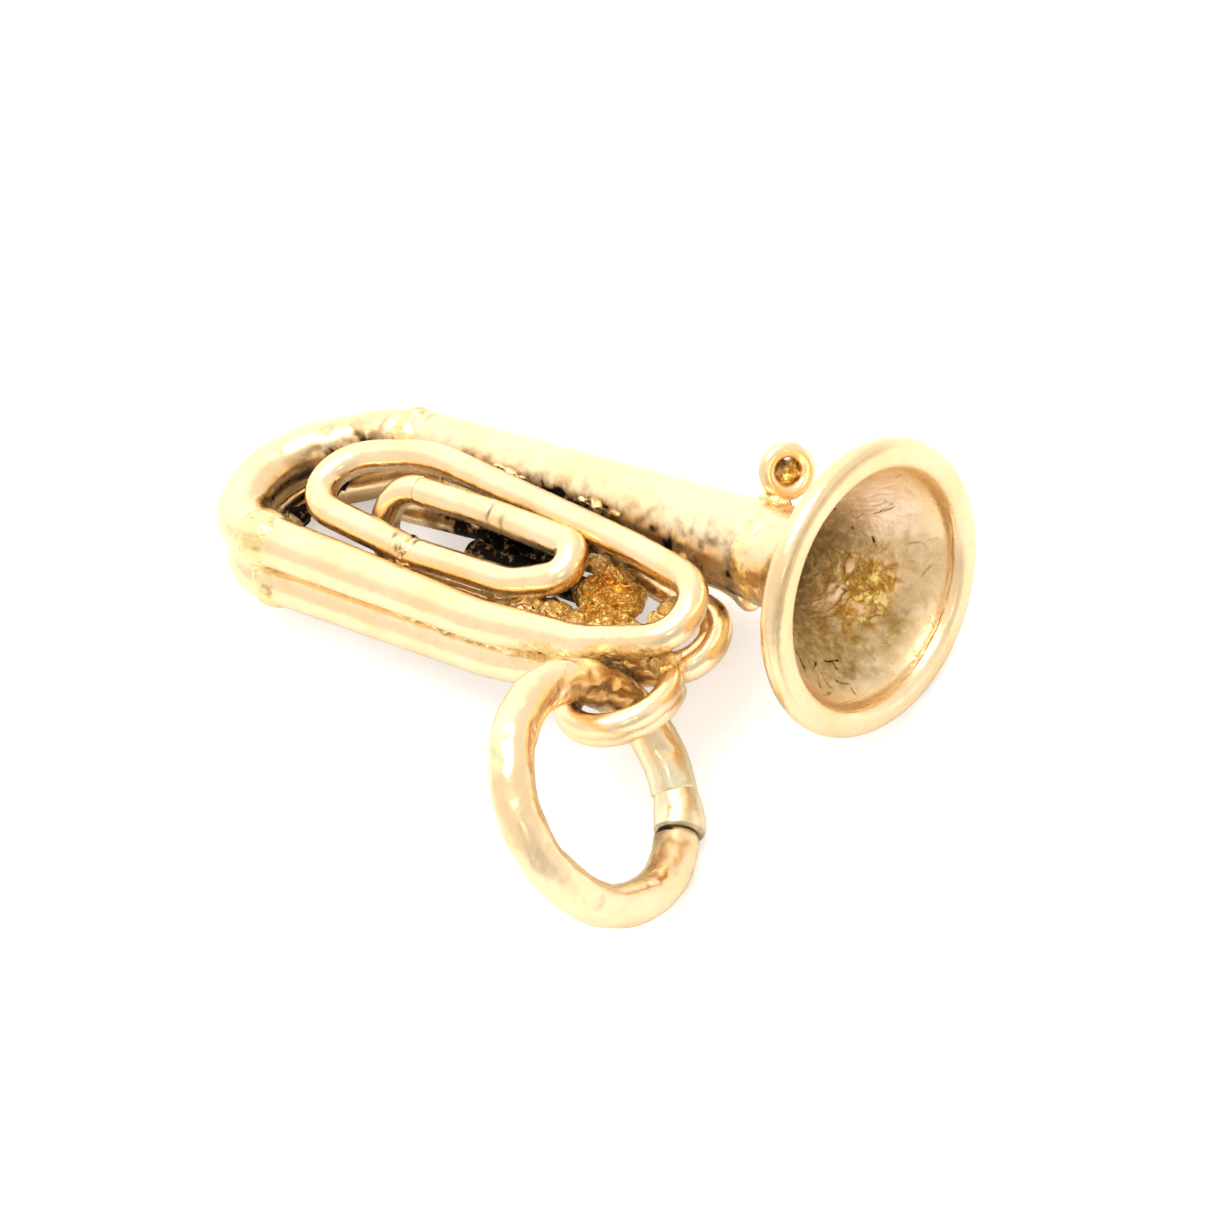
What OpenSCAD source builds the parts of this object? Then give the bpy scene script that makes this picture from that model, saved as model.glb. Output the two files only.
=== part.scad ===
// Gold bugle charm: a two-layer coil of wire and tube with a flared bell,
// a cord ring, a soldered bail and a loose jump ring.
// The horn is built in its own frame: origin at the middle of the bell mouth,
// +X out of the mouth, +Z square to the coil, with left at -X, the front at -Y
// and the back at +Y. lay() then sets it down on the table, resting on the
// bell rim, the lower left bow and the jump ring.

/* [Bell] */
// Radius to the middle of the rolled rim wire
rim_r = 2.91; // [2.6:0.01:3.2]
// Radius of the rolled rim wire
rim_wire_r = 0.33; // [0.25:0.01:0.36]
// Outside radius of the stem where it meets the bell
stem_r_bell = 1.08; // [1.02:0.01:1.12]
// Outside radius of the stem where it meets the left bow
stem_r_bow = 0.58; // [0.54:0.01:0.6]
// Wall of the hollow stem and left bow
tube_wall = 0.17; // [0.12:0.01:0.22]

/* [Coil] */
// Height of the upper layer above the stem axis
layer_up = 0.82; // [0.8:0.01:0.9]
// Height of the lower layer above the stem axis
layer_low = -0.35; // [-0.42:0.01:-0.34]
// Wire radius of the middle turns
coil_r = 0.33; // [0.28:0.01:0.34]
// Wire radius of the inner coil
inner_r = 0.32; // [0.26:0.01:0.33]
// Tilt of the inner coil, raising its back run
inner_tilt = 4.8; // [4:0.1:6]

/* [Rings] */
// Radius to the middle of the jump ring wire
jump_r = 2.434; // [2.42:0.001:2.45]
// Radius of the jump ring wire
jump_wire_r = 0.49; // [0.4:0.01:0.49]
// Radius to the middle of the bail wire
bail_r = 1.17; // [1.16:0.01:1.2]
// Radius of the bail wire
bail_wire_r = 0.27; // [0.2:0.01:0.28]
// Radius to the middle of the cord ring wire
cord_r = 0.455; // [0.43:0.005:0.48]
// Radius of the cord ring wire
cord_wire_r = 0.175; // [0.14:0.005:0.19]

/* [Pose] */
// Swing of the jump ring in the bail, degrees
ring_swing = 0; // [-70:1:5]

/* [Quality] */
// Facets on a full turn
quality = 64; // [32:4:96]

/* [Hidden] */
$fn = quality;
gold = [0.93, 0.74, 0.38];
pale = [0.86, 0.80, 0.52];

// Resting pose: where the bell mouth lands, and the turns about Y and X
rest = [7.5174, 2.9964, 3.259];
pitch = 6.668;
roll = 1.066;

lap = 0.012;          // how far a straight enters the bend at its end
slimmer = 0.003;      // how much slimmer a straight is than its bends
min_straight = 0.002; // straights no longer than this are left out

// ---- Placing and basic shapes ----

module lay() {
    translate(rest) rotate([roll, 0, 0]) rotate([0, -pitch, 0]) children();
}

// Turns +Z to +X
module along_x() { rotate([0, 90, 0]) children(); }

// Ring plane set by a tip about Y and a lean about X
module facing(centre, tip, lean) {
    translate(centre) rotate([0, tip, 0]) rotate([lean, 0, 0]) children();
}

// Solid turned about X from a profile of [radius, x] points
module turned(profile) { along_x() rotate_extrude() polygon(profile); }

module hoop(ring_r, wire_r) {
    rotate_extrude() translate([ring_r, 0]) circle(r = wire_r);
}

module arc(from, sweep, ring_r, wire_r) {
    rotate([0, 0, from]) rotate_extrude(angle = sweep)
        translate([ring_r, 0]) circle(r = wire_r);
}

// Spheres from a table of [x, y, z, radius]
module beads(table) {
    for (bead = table)
        translate([bead[0], bead[1], bead[2]]) sphere(r = bead[3]);
}

// ---- Tube along a flat path ----
// Each station is [x, y, bend radius, tube radius].

// Adds one tube radius to every [x, y, bend radius] station
function sized(path, tube_r) = [for (p = path) concat(p, tube_r)];

function flat(v) = [v.x, v.y];
function toward(a, b) = (flat(b) - flat(a)) / norm(flat(b) - flat(a));
function heading(v) = atan2(v.y, v.x);
function signed_turn(from, to) = ((to - from + 540) % 360) - 180;

// Half the angle between the two legs at station i
function half_angle(path, i) = acos(max(-1, min(1,
    toward(path[i], path[i - 1]) * toward(path[i], path[i + 1])))) / 2;

// Centre of the bend at station i
function hub(path, i) =
    let (sum = toward(path[i], path[i - 1]) + toward(path[i], path[i + 1]))
    flat(path[i]) + sum / norm(sum) * path[i].z / sin(half_angle(path, i));

// Where the leg on one side (-1 before, 1 after) meets the bend at station i
function tangent(path, i, side) = i == 0 || i == len(path) - 1
    ? flat(path[i])
    : flat(path[i]) + toward(path[i], path[i + side])
        * path[i].z / tan(half_angle(path, i));

module straight(start, end, r1, r2, lap1, lap2) {
    length = norm(end - start);
    if (length > min_straight)
        translate([start.x, start.y, 0]) rotate([0, 0, heading(end - start)])
            translate([-lap1, 0, 0]) along_x()
                cylinder(h = length + lap1 + lap2,
                    r1 = r1 - slimmer, r2 = r2 - slimmer);
}

// Straights between bends, tangent to both
module run(path) {
    last = len(path) - 1;
    for (i = [0 : last - 1])
        straight(tangent(path, i, 1), tangent(path, i + 1, -1),
            path[i][3], path[i + 1][3],
            i == 0 ? 0 : lap, i == last - 1 ? 0 : lap);
    for (i = [1 : last - 1]) {
        centre = hub(path, i);
        from = heading(tangent(path, i, -1) - centre);
        sweep = signed_turn(from, heading(tangent(path, i, 1) - centre));
        translate([centre.x, centre.y, 0])
            arc(min(from, from + sweep), abs(sweep), path[i].z, path[i][3]);
    }
}

// ---- Bell and stem ----

seam_x = -2.6;      // where the bell meets the stem
bell_bore_r = 0.66; // bore at that seam
stem_end_x = -12.22; // where the straight stem meets its bend
bore_over = 0.01;   // extra length of the stem bore
bow_tilt = -12;     // turn of both left bows about X
back_bend_r = 2.235; // bend shared by the stem and the left bow
back_seam = [-12.7227, -0.0573];
back_seam_heading = 13;
bow_end_x = -13.96; // where both left bows meet the coil

// [radius, x], up the inside of the flare and back down the outside
bell_profile = [
    [bell_bore_r, seam_x], [0.80, -2.2], [1.00, -1.8], [1.26, -1.4],
    [1.62, -1.0], [2.08, -0.6], [2.66, -0.12], [2.84, -0.22],
    [2.44, -0.58], [1.96, -0.98], [1.55, -1.4], [1.30, -1.8],
    [1.16, -2.2], [stem_r_bell, seam_x]];
bell_seam_profile = [
    [stem_r_bell - 0.04, seam_x - 0.16], [stem_r_bell + 0.05, seam_x - 0.06],
    [stem_r_bell + 0.07, seam_x + 0.05], [stem_r_bell + 0.01, seam_x + 0.2],
    [stem_r_bell - 0.05, seam_x + 0.02]];
// [radius, distance along the tube from the seam]
back_seam_profile = [[0.56, -0.16], [0.6, -0.1], [0.625, 0], [0.6, 0.12],
    [0.56, 0.18]];

// [x, y, bend radius]
stem_bend = [[stem_end_x, 0, 0], [-12.4746, 0, back_bend_r],
    [back_seam.x, back_seam.y, 0]];
left_bow_path = [[back_seam.x, back_seam.y, 0],
    [-13.1856, -0.1641, back_bend_r], [-15.275, -1.74, 1.786],
    [-14.92, -3.963, 1.106], [bow_end_x, -3.955, 0]];

module tilted() { rotate([bow_tilt, 0, 0]) children(); }

module bell() { color(gold) lay() turned(bell_profile); }

module bell_rim_wire() { color(gold) lay() along_x() hoop(rim_r, rim_wire_r); }

module bell_seam_solder() { color(pale) lay() turned(bell_seam_profile); }

// Long cone and the bend at its left end, for the stem or its bore
module stem_shape(bow_r, bell_r, over = 0) {
    translate([stem_end_x - lap, 0, 0]) along_x()
        cylinder(h = seam_x - stem_end_x + lap + over,
            r1 = bow_r - slimmer, r2 = bell_r);
    tilted() run(sized(stem_bend, bow_r));
}

module bell_stem() {
    color(gold) lay() difference() {
        stem_shape(stem_r_bow, stem_r_bell);
        stem_shape(stem_r_bow - tube_wall, bell_bore_r, bore_over);
    }
}

module back_seam_solder() {
    color(pale) lay() tilted() translate([back_seam.x, back_seam.y, 0])
        rotate([0, 0, back_seam_heading]) turned(back_seam_profile);
}

module left_bow() {
    color(gold) lay() tilted() difference() {
        run(sized(left_bow_path, stem_r_bow));
        run(sized(left_bow_path, stem_r_bow - tube_wall));
    }
}

// ---- Upper layer ----

front_seam = [bow_end_x, -3.86];
inner_seam = [-10.25, -3.04];
inner_end = [-10.9, -1.69];

// [radius, distance along the tube from the seam]
front_seam_profile = [[0, -0.12], [0.54, -0.12], [0.6, -0.07], [0.63, 0.02],
    [0.6, 0.1], [0.54, 0.14], [0, 0.14]];
inner_seam_profile = [[0, -0.14], [0.3, -0.14], [0.355, -0.06],
    [0.365, 0.04], [0.3, 0.16], [0, 0.16]];
inner_seam_beads = [[-10.3, -3.3, layer_up - 0.12, 0.17]];

// [x, y, bend radius, tube radius]
upper_path = [
    [front_seam.x, front_seam.y, 0, 0.56],
    [-7.54, -4.03, 6, 0.45],
    [-4.91, -3.75, 1.5, 0.37],
    [-2.55, -2.88, 0.855, 0.345],
    [-3.27, -1.58, 0.893, 0.34],
    [-5.18, -1.28, 2, coil_r],
    [-11.43, -0.74, 2.9, coil_r],
    [-13.0, -1.33, 1.3, 0.345],
    [-13.99, -2.66, 0.7, 0.34],
    [inner_seam.x, inner_seam.y, 0, coil_r]];
// [x, y, bend radius]
inner_path = [[inner_seam.x, inner_seam.y, 0], [-7.45, -2.985, 1.6],
    [-6.28, -2.48, 0.4], [-6.42, -1.74, 0.36], [-8.8, -1.66, 3],
    [inner_end.x, inner_end.y, 0]];

module front_seam_solder() {
    color(pale) lay() translate([front_seam.x, front_seam.y, layer_up])
        turned(front_seam_profile);
}

module upper_coil() {
    color(gold) lay() translate([0, 0, layer_up]) run(upper_path);
}

module inner_seam_solder() {
    color(pale) lay() {
        translate([inner_seam.x, inner_seam.y, layer_up])
            turned(inner_seam_profile);
        beads(inner_seam_beads);
    }
}

// Tilted about the line through the inner seam
module inner_coil() {
    color(gold) lay() translate([0, inner_seam.y, layer_up])
        rotate([inner_tilt, 0, 0]) translate([0, -inner_seam.y, 0])
            run(sized(inner_path, inner_r));
}

// ---- Crossover and lower layer ----

lower_inner_start = [inner_end.x, -2.95];
lower_inner_r = 0.3;
lower_seam = [bow_end_x, -4.1];
lower_bow_r = 0.54;
pipe_start = [-12.3, 0, -1.22]; // where the lower left bow meets the pipe

// The crossover is centred midway between the two ends it joins
inner_reach = inner_end.y - inner_seam.y;
inner_end_y = inner_seam.y + inner_reach * cos(inner_tilt);
inner_end_z = layer_up + inner_reach * sin(inner_tilt);
crossover_c = [inner_end.x, (inner_end_y + lower_inner_start.y) / 2,
    (inner_end_z + layer_low) / 2];
crossover_r = 0.898;
crossover_lean = 44.4;

// [x, y, bend radius]
lower_inner_path = [[lower_inner_start.x, lower_inner_start.y, 0],
    [-5.62, -2.93, 0.4], [-5.62, -2.05, 0.4], [-9.85, -2.06, 0]];
lower_bow_path = [[pipe_start.x, pipe_start.y, 0], [-13.1, 0, 2.2],
    [-15.5, -1.8, 1.75], [-15.1, -4.18, 1.1], [bow_end_x, -4.19, 0]];
// [x, y, bend radius, tube radius]
lower_path = [
    [lower_seam.x, lower_seam.y, 0, lower_bow_r],
    [-7.54, -4.15, 6, 0.5],
    [-4.91, -3.62, 1.5, 0.4],
    [-2.55, -2.75, 0.8, 0.36],
    [-3.2, -1.62, 0.7, 0.345],
    [-5.6, -1.26, 3, coil_r],
    [-8.2, -1.23, 6, coil_r],
    [-12.2, -1.53, 0, coil_r]];
// [radius, distance along the tube from the seam]
lower_seam_profile = [[0, -0.12], [0.52, -0.12], [0.58, -0.06], [0.6, 0.02],
    [0.58, 0.09], [0.52, 0.13], [0, 0.13]];

module crossover_bend() {
    color(gold) lay() translate(crossover_c) rotate([crossover_lean, 0, 0])
        arc(90, 180, crossover_r, inner_r);
}

module lower_inner_coil() {
    color(gold) lay() translate([0, 0, layer_low])
        run(sized(lower_inner_path, lower_inner_r));
}

module lower_coil() {
    color(gold) lay() translate([0, 0, layer_low]) run(lower_path);
}

module lower_left_bow() {
    color(gold) lay() translate([0, 0, pipe_start.z]) tilted()
        run(sized(lower_bow_path, lower_bow_r));
}

module lower_seam_solder() {
    color(pale) lay() translate([lower_seam.x, lower_seam.y, layer_low])
        turned(lower_seam_profile);
}

// ---- Lead pipe and mouthpiece ----

pipe_drop = 4.6; // fall of the pipe toward +X, degrees
pipe_length = 6.9;
pipe_r_bow = 0.46;
pipe_r_mouth = 0.3;
mouth_bore_r = 0.09;
mouth_bore_length = 2;
// [radius, distance from the end of the pipe]
mouthpiece_profile = [[0, 0], [pipe_r_mouth, 0], [pipe_r_mouth, 0.5],
    [0.36, 0.85], [0.46, 1.1], [0.5, 1.25], [0.44, 1.33], [0.3, 1.2],
    [0.12, 0.9], [0, 0.85]];

// Frame with +Z along the pipe
module on_pipe() {
    translate(pipe_start) rotate([0, 90 + pipe_drop, 0]) children();
}

// Slim cone falling away under the widening stem
module lead_pipe() {
    color(gold) lay() on_pipe()
        cylinder(h = pipe_length, r1 = pipe_r_bow, r2 = pipe_r_mouth);
}

module mouthpiece() {
    color(gold) lay() on_pipe() translate([0, 0, pipe_length]) difference() {
        rotate_extrude() polygon(mouthpiece_profile);
        cylinder(h = mouth_bore_length, r = mouth_bore_r);
    }
}

// ---- Tack solder and cord ring ----

// [x, y, z, radius]
tack_beads = [
    [-11.6, -4.02, 0.25, 0.2], [-8.2, -4.06, 0.22, 0.22],
    [-5.3, -3.74, 0.24, 0.24], [-7.2, -1.18, 0.24, 0.26],
    [-9.4, -0.9, 0.25, 0.25], [-7.0, -0.55, 0.62, 0.26],
    [-9.6, -0.42, 0.5, 0.24], [-8.2, -2.9, 0.24, 0.27],
    [-4.6, -1.2, 0.24, 0.27]];
cord_beads = [[-3.05, 0.97, 0.45, 0.27]];
cord_c = [-3.042, 1.592, 0.745];
cord_lean = 25.1;
cord_tip = 60;

module coil_tack_solder() { color(pale) lay() beads(tack_beads); }

module cord_ring() {
    color(gold) lay() translate(cord_c) rotate([cord_lean, 0, 0])
        rotate([0, cord_tip, 0]) hoop(cord_r, cord_wire_r);
}

module cord_ring_solder() { color(pale) lay() beads(cord_beads); }

// ---- Bail ----

bail_upper_c = [-3.836, -4.203, 0.2];
bail_lower_c = [-4.046, -4.143, -0.28];
bail_tip = -4.715;
bail_lean = -13.28;
bail_from = -195;
bail_upper_sweep = 280;
bail_lower_sweep = 230;
// [x, y, z, radius]
bail_beads = [[-4.95, -4.0, 0.22, 0.25], [-4.25, -3.7, 0.3, 0.2],
    [-3.05, -3.42, 0.22, 0.27], [-5.5, -3.98, 0.3, 0.2]];

module bail_arc(centre, sweep) {
    facing(centre, bail_tip, bail_lean)
        arc(bail_from, sweep, bail_r, bail_wire_r);
}

module bail_ring_upper() {
    color(gold) lay() bail_arc(bail_upper_c, bail_upper_sweep);
}

module bail_ring_lower() {
    color(gold) lay() bail_arc(bail_lower_c, bail_lower_sweep);
}

module bail_solder() { color(pale) lay() beads(bail_beads); }

// ---- Jump ring ----

jump_c = [-2.998, -6.480, -0.096];
jump_tip = 67.745;
jump_lean = -21.541;
jump_from = 41; // the wire starts here, where the solder ends
jump_sweep = 338;
jump_solder_sweep = 20.8;
jump_solder_out = 0.02; // shift of the solder away from the ring centre
jump_solder_proud = 0.04; // solder radius beyond the wire
swing_pivot = [-3.667, -5.58, 0.175];
swing_axis = [0.821, -0.565, 0.076];

// Plane of the jump ring, swung in the bail
module in_jump_plane() {
    translate(swing_pivot) rotate(ring_swing, swing_axis)
        translate(-swing_pivot) facing(jump_c, jump_tip, jump_lean) children();
}

module jump_ring() {
    color(gold) lay() in_jump_plane()
        arc(jump_from, jump_sweep, jump_r, jump_wire_r);
}

module jump_ring_solder() {
    color(pale) lay() in_jump_plane()
        arc(jump_from - jump_solder_sweep, jump_solder_sweep,
            jump_r + jump_solder_out, jump_wire_r + jump_solder_proud);
}

bell();
bell_rim_wire();
bell_seam_solder();
bell_stem();
back_seam_solder();
left_bow();
front_seam_solder();
upper_coil();
inner_seam_solder();
inner_coil();
crossover_bend();
lower_inner_coil();
lower_coil();
lower_left_bow();
lower_seam_solder();
lead_pipe();
mouthpiece();
coil_tack_solder();
cord_ring();
cord_ring_solder();
bail_ring_upper();
bail_ring_lower();
bail_solder();
jump_ring();
jump_ring_solder();
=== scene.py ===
"""Gold horn charm with a cord ring, a bail and a jump ring.

Sizes are in millimetres in the horn's own frame. The bell is turned about X and opens to +X
at the origin, the stem runs to -X, and the coils lie at -Y in layers stacked in Z. "Left" in
a name is the -X end. LAY sets that frame down on the floor, with its +X end raised.

Every vertex of the metal has a "paint" colour: grime and painted shade, roughness, paleness
(pale metal, and painted light in the bell), crumpled metal.
"""
import math

import bmesh
import bpy
import numpy as np
from mathutils import Matrix, Vector


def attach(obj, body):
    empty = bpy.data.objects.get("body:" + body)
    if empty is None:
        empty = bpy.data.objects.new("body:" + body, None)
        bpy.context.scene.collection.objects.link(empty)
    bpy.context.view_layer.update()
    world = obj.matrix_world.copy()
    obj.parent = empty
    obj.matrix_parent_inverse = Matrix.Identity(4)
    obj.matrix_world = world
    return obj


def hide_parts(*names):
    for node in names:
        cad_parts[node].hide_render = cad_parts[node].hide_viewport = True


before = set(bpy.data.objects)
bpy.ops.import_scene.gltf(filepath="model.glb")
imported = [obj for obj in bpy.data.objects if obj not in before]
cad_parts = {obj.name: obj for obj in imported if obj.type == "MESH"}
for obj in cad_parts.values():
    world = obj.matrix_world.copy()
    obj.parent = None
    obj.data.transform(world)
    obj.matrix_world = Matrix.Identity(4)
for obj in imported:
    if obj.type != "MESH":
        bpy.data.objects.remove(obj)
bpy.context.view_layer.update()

MM = 0.001

# ------------------------------------------------------------------ placing

AXES = {"x": (1.0, 0.0, 0.0), "y": (0.0, 1.0, 0.0), "z": (0.0, 0.0, 1.0)}


def shift(x, y, z):
    matrix = np.eye(4)
    matrix[:3, 3] = (x, y, z)
    return matrix


def turn(axis, degrees):
    x, y, z = AXES[axis]
    angle = math.radians(degrees)
    cross = np.array([[0, -z, y], [z, 0, -x], [-y, x, 0]])
    matrix = np.eye(4)
    matrix[:3, :3] += math.sin(angle) * cross + (1 - math.cos(angle)) * (cross @ cross)
    return matrix


def move(matrix, points):
    return np.asarray(points, float) @ matrix[:3, :3].T + matrix[:3, 3]


def lift(matrix, path):
    """Place a flat path of [x, y] points."""
    return move(matrix, np.concatenate([path, np.zeros((len(path), 1))], 1))


PITCH, ROLL = 6.668, 1.066  # degrees
REST = (7.5174, 2.9964, 3.259)
LAY = shift(*REST) @ turn("x", ROLL) @ turn("y", -PITCH)

UPPER_Z, LOWER_Z, LEAD_Z = 0.82, -0.35, -1.22  # the coil layers and the lead pipe's left end
TILT = turn("x", -12)  # plane of the bows at the left end

# Camera axes in the horn's frame. The origin is the horn's, as the camera sees it.
CAMERA_RIGHT = (0.7432, 0.5432, -0.3906)
CAMERA_UP = (-0.2566, 0.7705, 0.5835)
CAMERA_BACK = (0.6179, -0.3334, 0.712)
CAMERA_ORIGIN = (5.455, 0.405, -400.0)
CAMERA_LENS = 569.3575

# ------------------------------------------------------------------ repeatable noise

noise_rng = np.random.RandomState(11)
PERMUTATION = np.tile(noise_rng.permutation(256), 2)
GRADIENTS = noise_rng.normal(size=(256, 3))
GRADIENTS /= np.linalg.norm(GRADIENTS, axis=1)[:, None]


def noise(points, freq, seed):
    """Gradient noise, about -1 to 1, with freq in 1/mm."""
    spot = np.asarray(points, float) * freq + np.array([13.7, 5.1, 29.3]) * (seed + 1)
    cell = np.floor(spot).astype(np.int64)
    offset = spot - cell
    blend = offset * offset * offset * (offset * (offset * 6 - 15) + 10)
    total = 0
    for corner in np.ndindex(2, 2, 2):
        hashed = 0
        for axis in range(3):
            hashed = PERMUTATION[hashed + ((cell[:, axis] + corner[axis]) & 255)]
        slope = GRADIENTS[hashed]
        value = sum(slope[:, axis] * (offset[:, axis] - corner[axis]) for axis in range(3))
        for axis in range(3):
            value = value * (blend[:, axis] if corner[axis] else 1 - blend[:, axis])
        total = total + value
    return total * 1.7


def fbm(points, freq, octaves, seed, gain=0.5):
    """Octaves of noise, each about twice as fine and gain times as high as the last."""
    value, height, total = 0, 1.0, 0
    for k in range(octaves):
        value = value + height * noise(points, freq * 2.03**k, seed + 7 * k)
        total += height
        height *= gain
    return value / total


def ease(start, end, value):
    """Smooth step from 0 at start to 1 at end. start may be the larger."""
    t = np.clip((value - start) / (end - start), 0, 1)
    return t * t * (3 - 2 * t)


def near(points, centre, radii):
    """1 at the centre, fading to 0 through an ellipsoid of the radii."""
    offset = (points - np.array(centre, float)) / np.array(radii, float)
    return np.exp(-((offset * offset).sum(1)))


# ------------------------------------------------------------------ materials


class Graph:
    """Short ways to add and join the nodes of a tree."""

    def __init__(self, tree):
        self.tree = tree

    def add(self, kind, **settings):
        node = self.tree.nodes.new(kind)
        for key, value in settings.items():
            setattr(node, key, value)
        return node

    def feed(self, socket, value):
        """Link a socket's value, or set a plain one."""
        if isinstance(value, bpy.types.NodeSocket):
            self.tree.links.new(value, socket)
        else:
            socket.default_value = value

    def calc(self, operation, first, second, clamp=False):
        node = self.add("ShaderNodeMath", operation=operation, use_clamp=clamp)
        self.feed(node.inputs[0], first)
        self.feed(node.inputs[1], second)
        return node.outputs[0]

    def plus(self, first, second, clamp=False):
        return self.calc("ADD", first, second, clamp)

    def minus(self, first, second):
        return self.calc("SUBTRACT", first, second)

    def times(self, first, second):
        return self.calc("MULTIPLY", first, second)

    def span(self, value, start, end, low=0.0, high=1.0):
        """Smooth step from low, where value is start, to high, where it is end."""
        node = self.add("ShaderNodeMapRange", interpolation_type="SMOOTHSTEP")
        self.feed(node.inputs["Value"], value)
        for key, number in zip(("From Min", "From Max", "To Min", "To Max"),
                               (start, end, low, high)):
            node.inputs[key].default_value = number
        return node.outputs["Result"]

    def mix(self, factor, first, second):
        """Blend two colours, each a link or an (r, g, b)."""
        node = self.add("ShaderNodeMix", data_type="RGBA", clamp_factor=True)
        self.feed(node.inputs[0], factor)
        for index, colour in ((6, first), (7, second)):
            rgba = (*colour, 1.0) if isinstance(colour, tuple) else colour
            self.feed(node.inputs[index], rgba)
        return node.outputs[2]

    def texture(self, vector, scale, detail, rough=0.55, distortion=0.0):
        node = self.add("ShaderNodeTexNoise")
        node.inputs["Scale"].default_value = scale
        node.inputs["Detail"].default_value = detail
        node.inputs["Roughness"].default_value = rough
        node.inputs["Distortion"].default_value = distortion
        self.feed(node.inputs["Vector"], vector)
        return node.outputs["Fac"]

    def scratches(self, vector, angles, scale, stretch, start, end):
        """Fine lines: noise drawn out along one turned axis, cut at a threshold."""
        node = self.add("ShaderNodeMapping")
        node.inputs["Rotation"].default_value = angles
        node.inputs["Scale"].default_value = (1.0, stretch, stretch)
        self.feed(node.inputs["Vector"], vector)
        lines = self.texture(node.outputs["Vector"], scale, detail=2.0, rough=0.5,
                             distortion=0.15)
        return self.span(lines, start, end)


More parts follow.
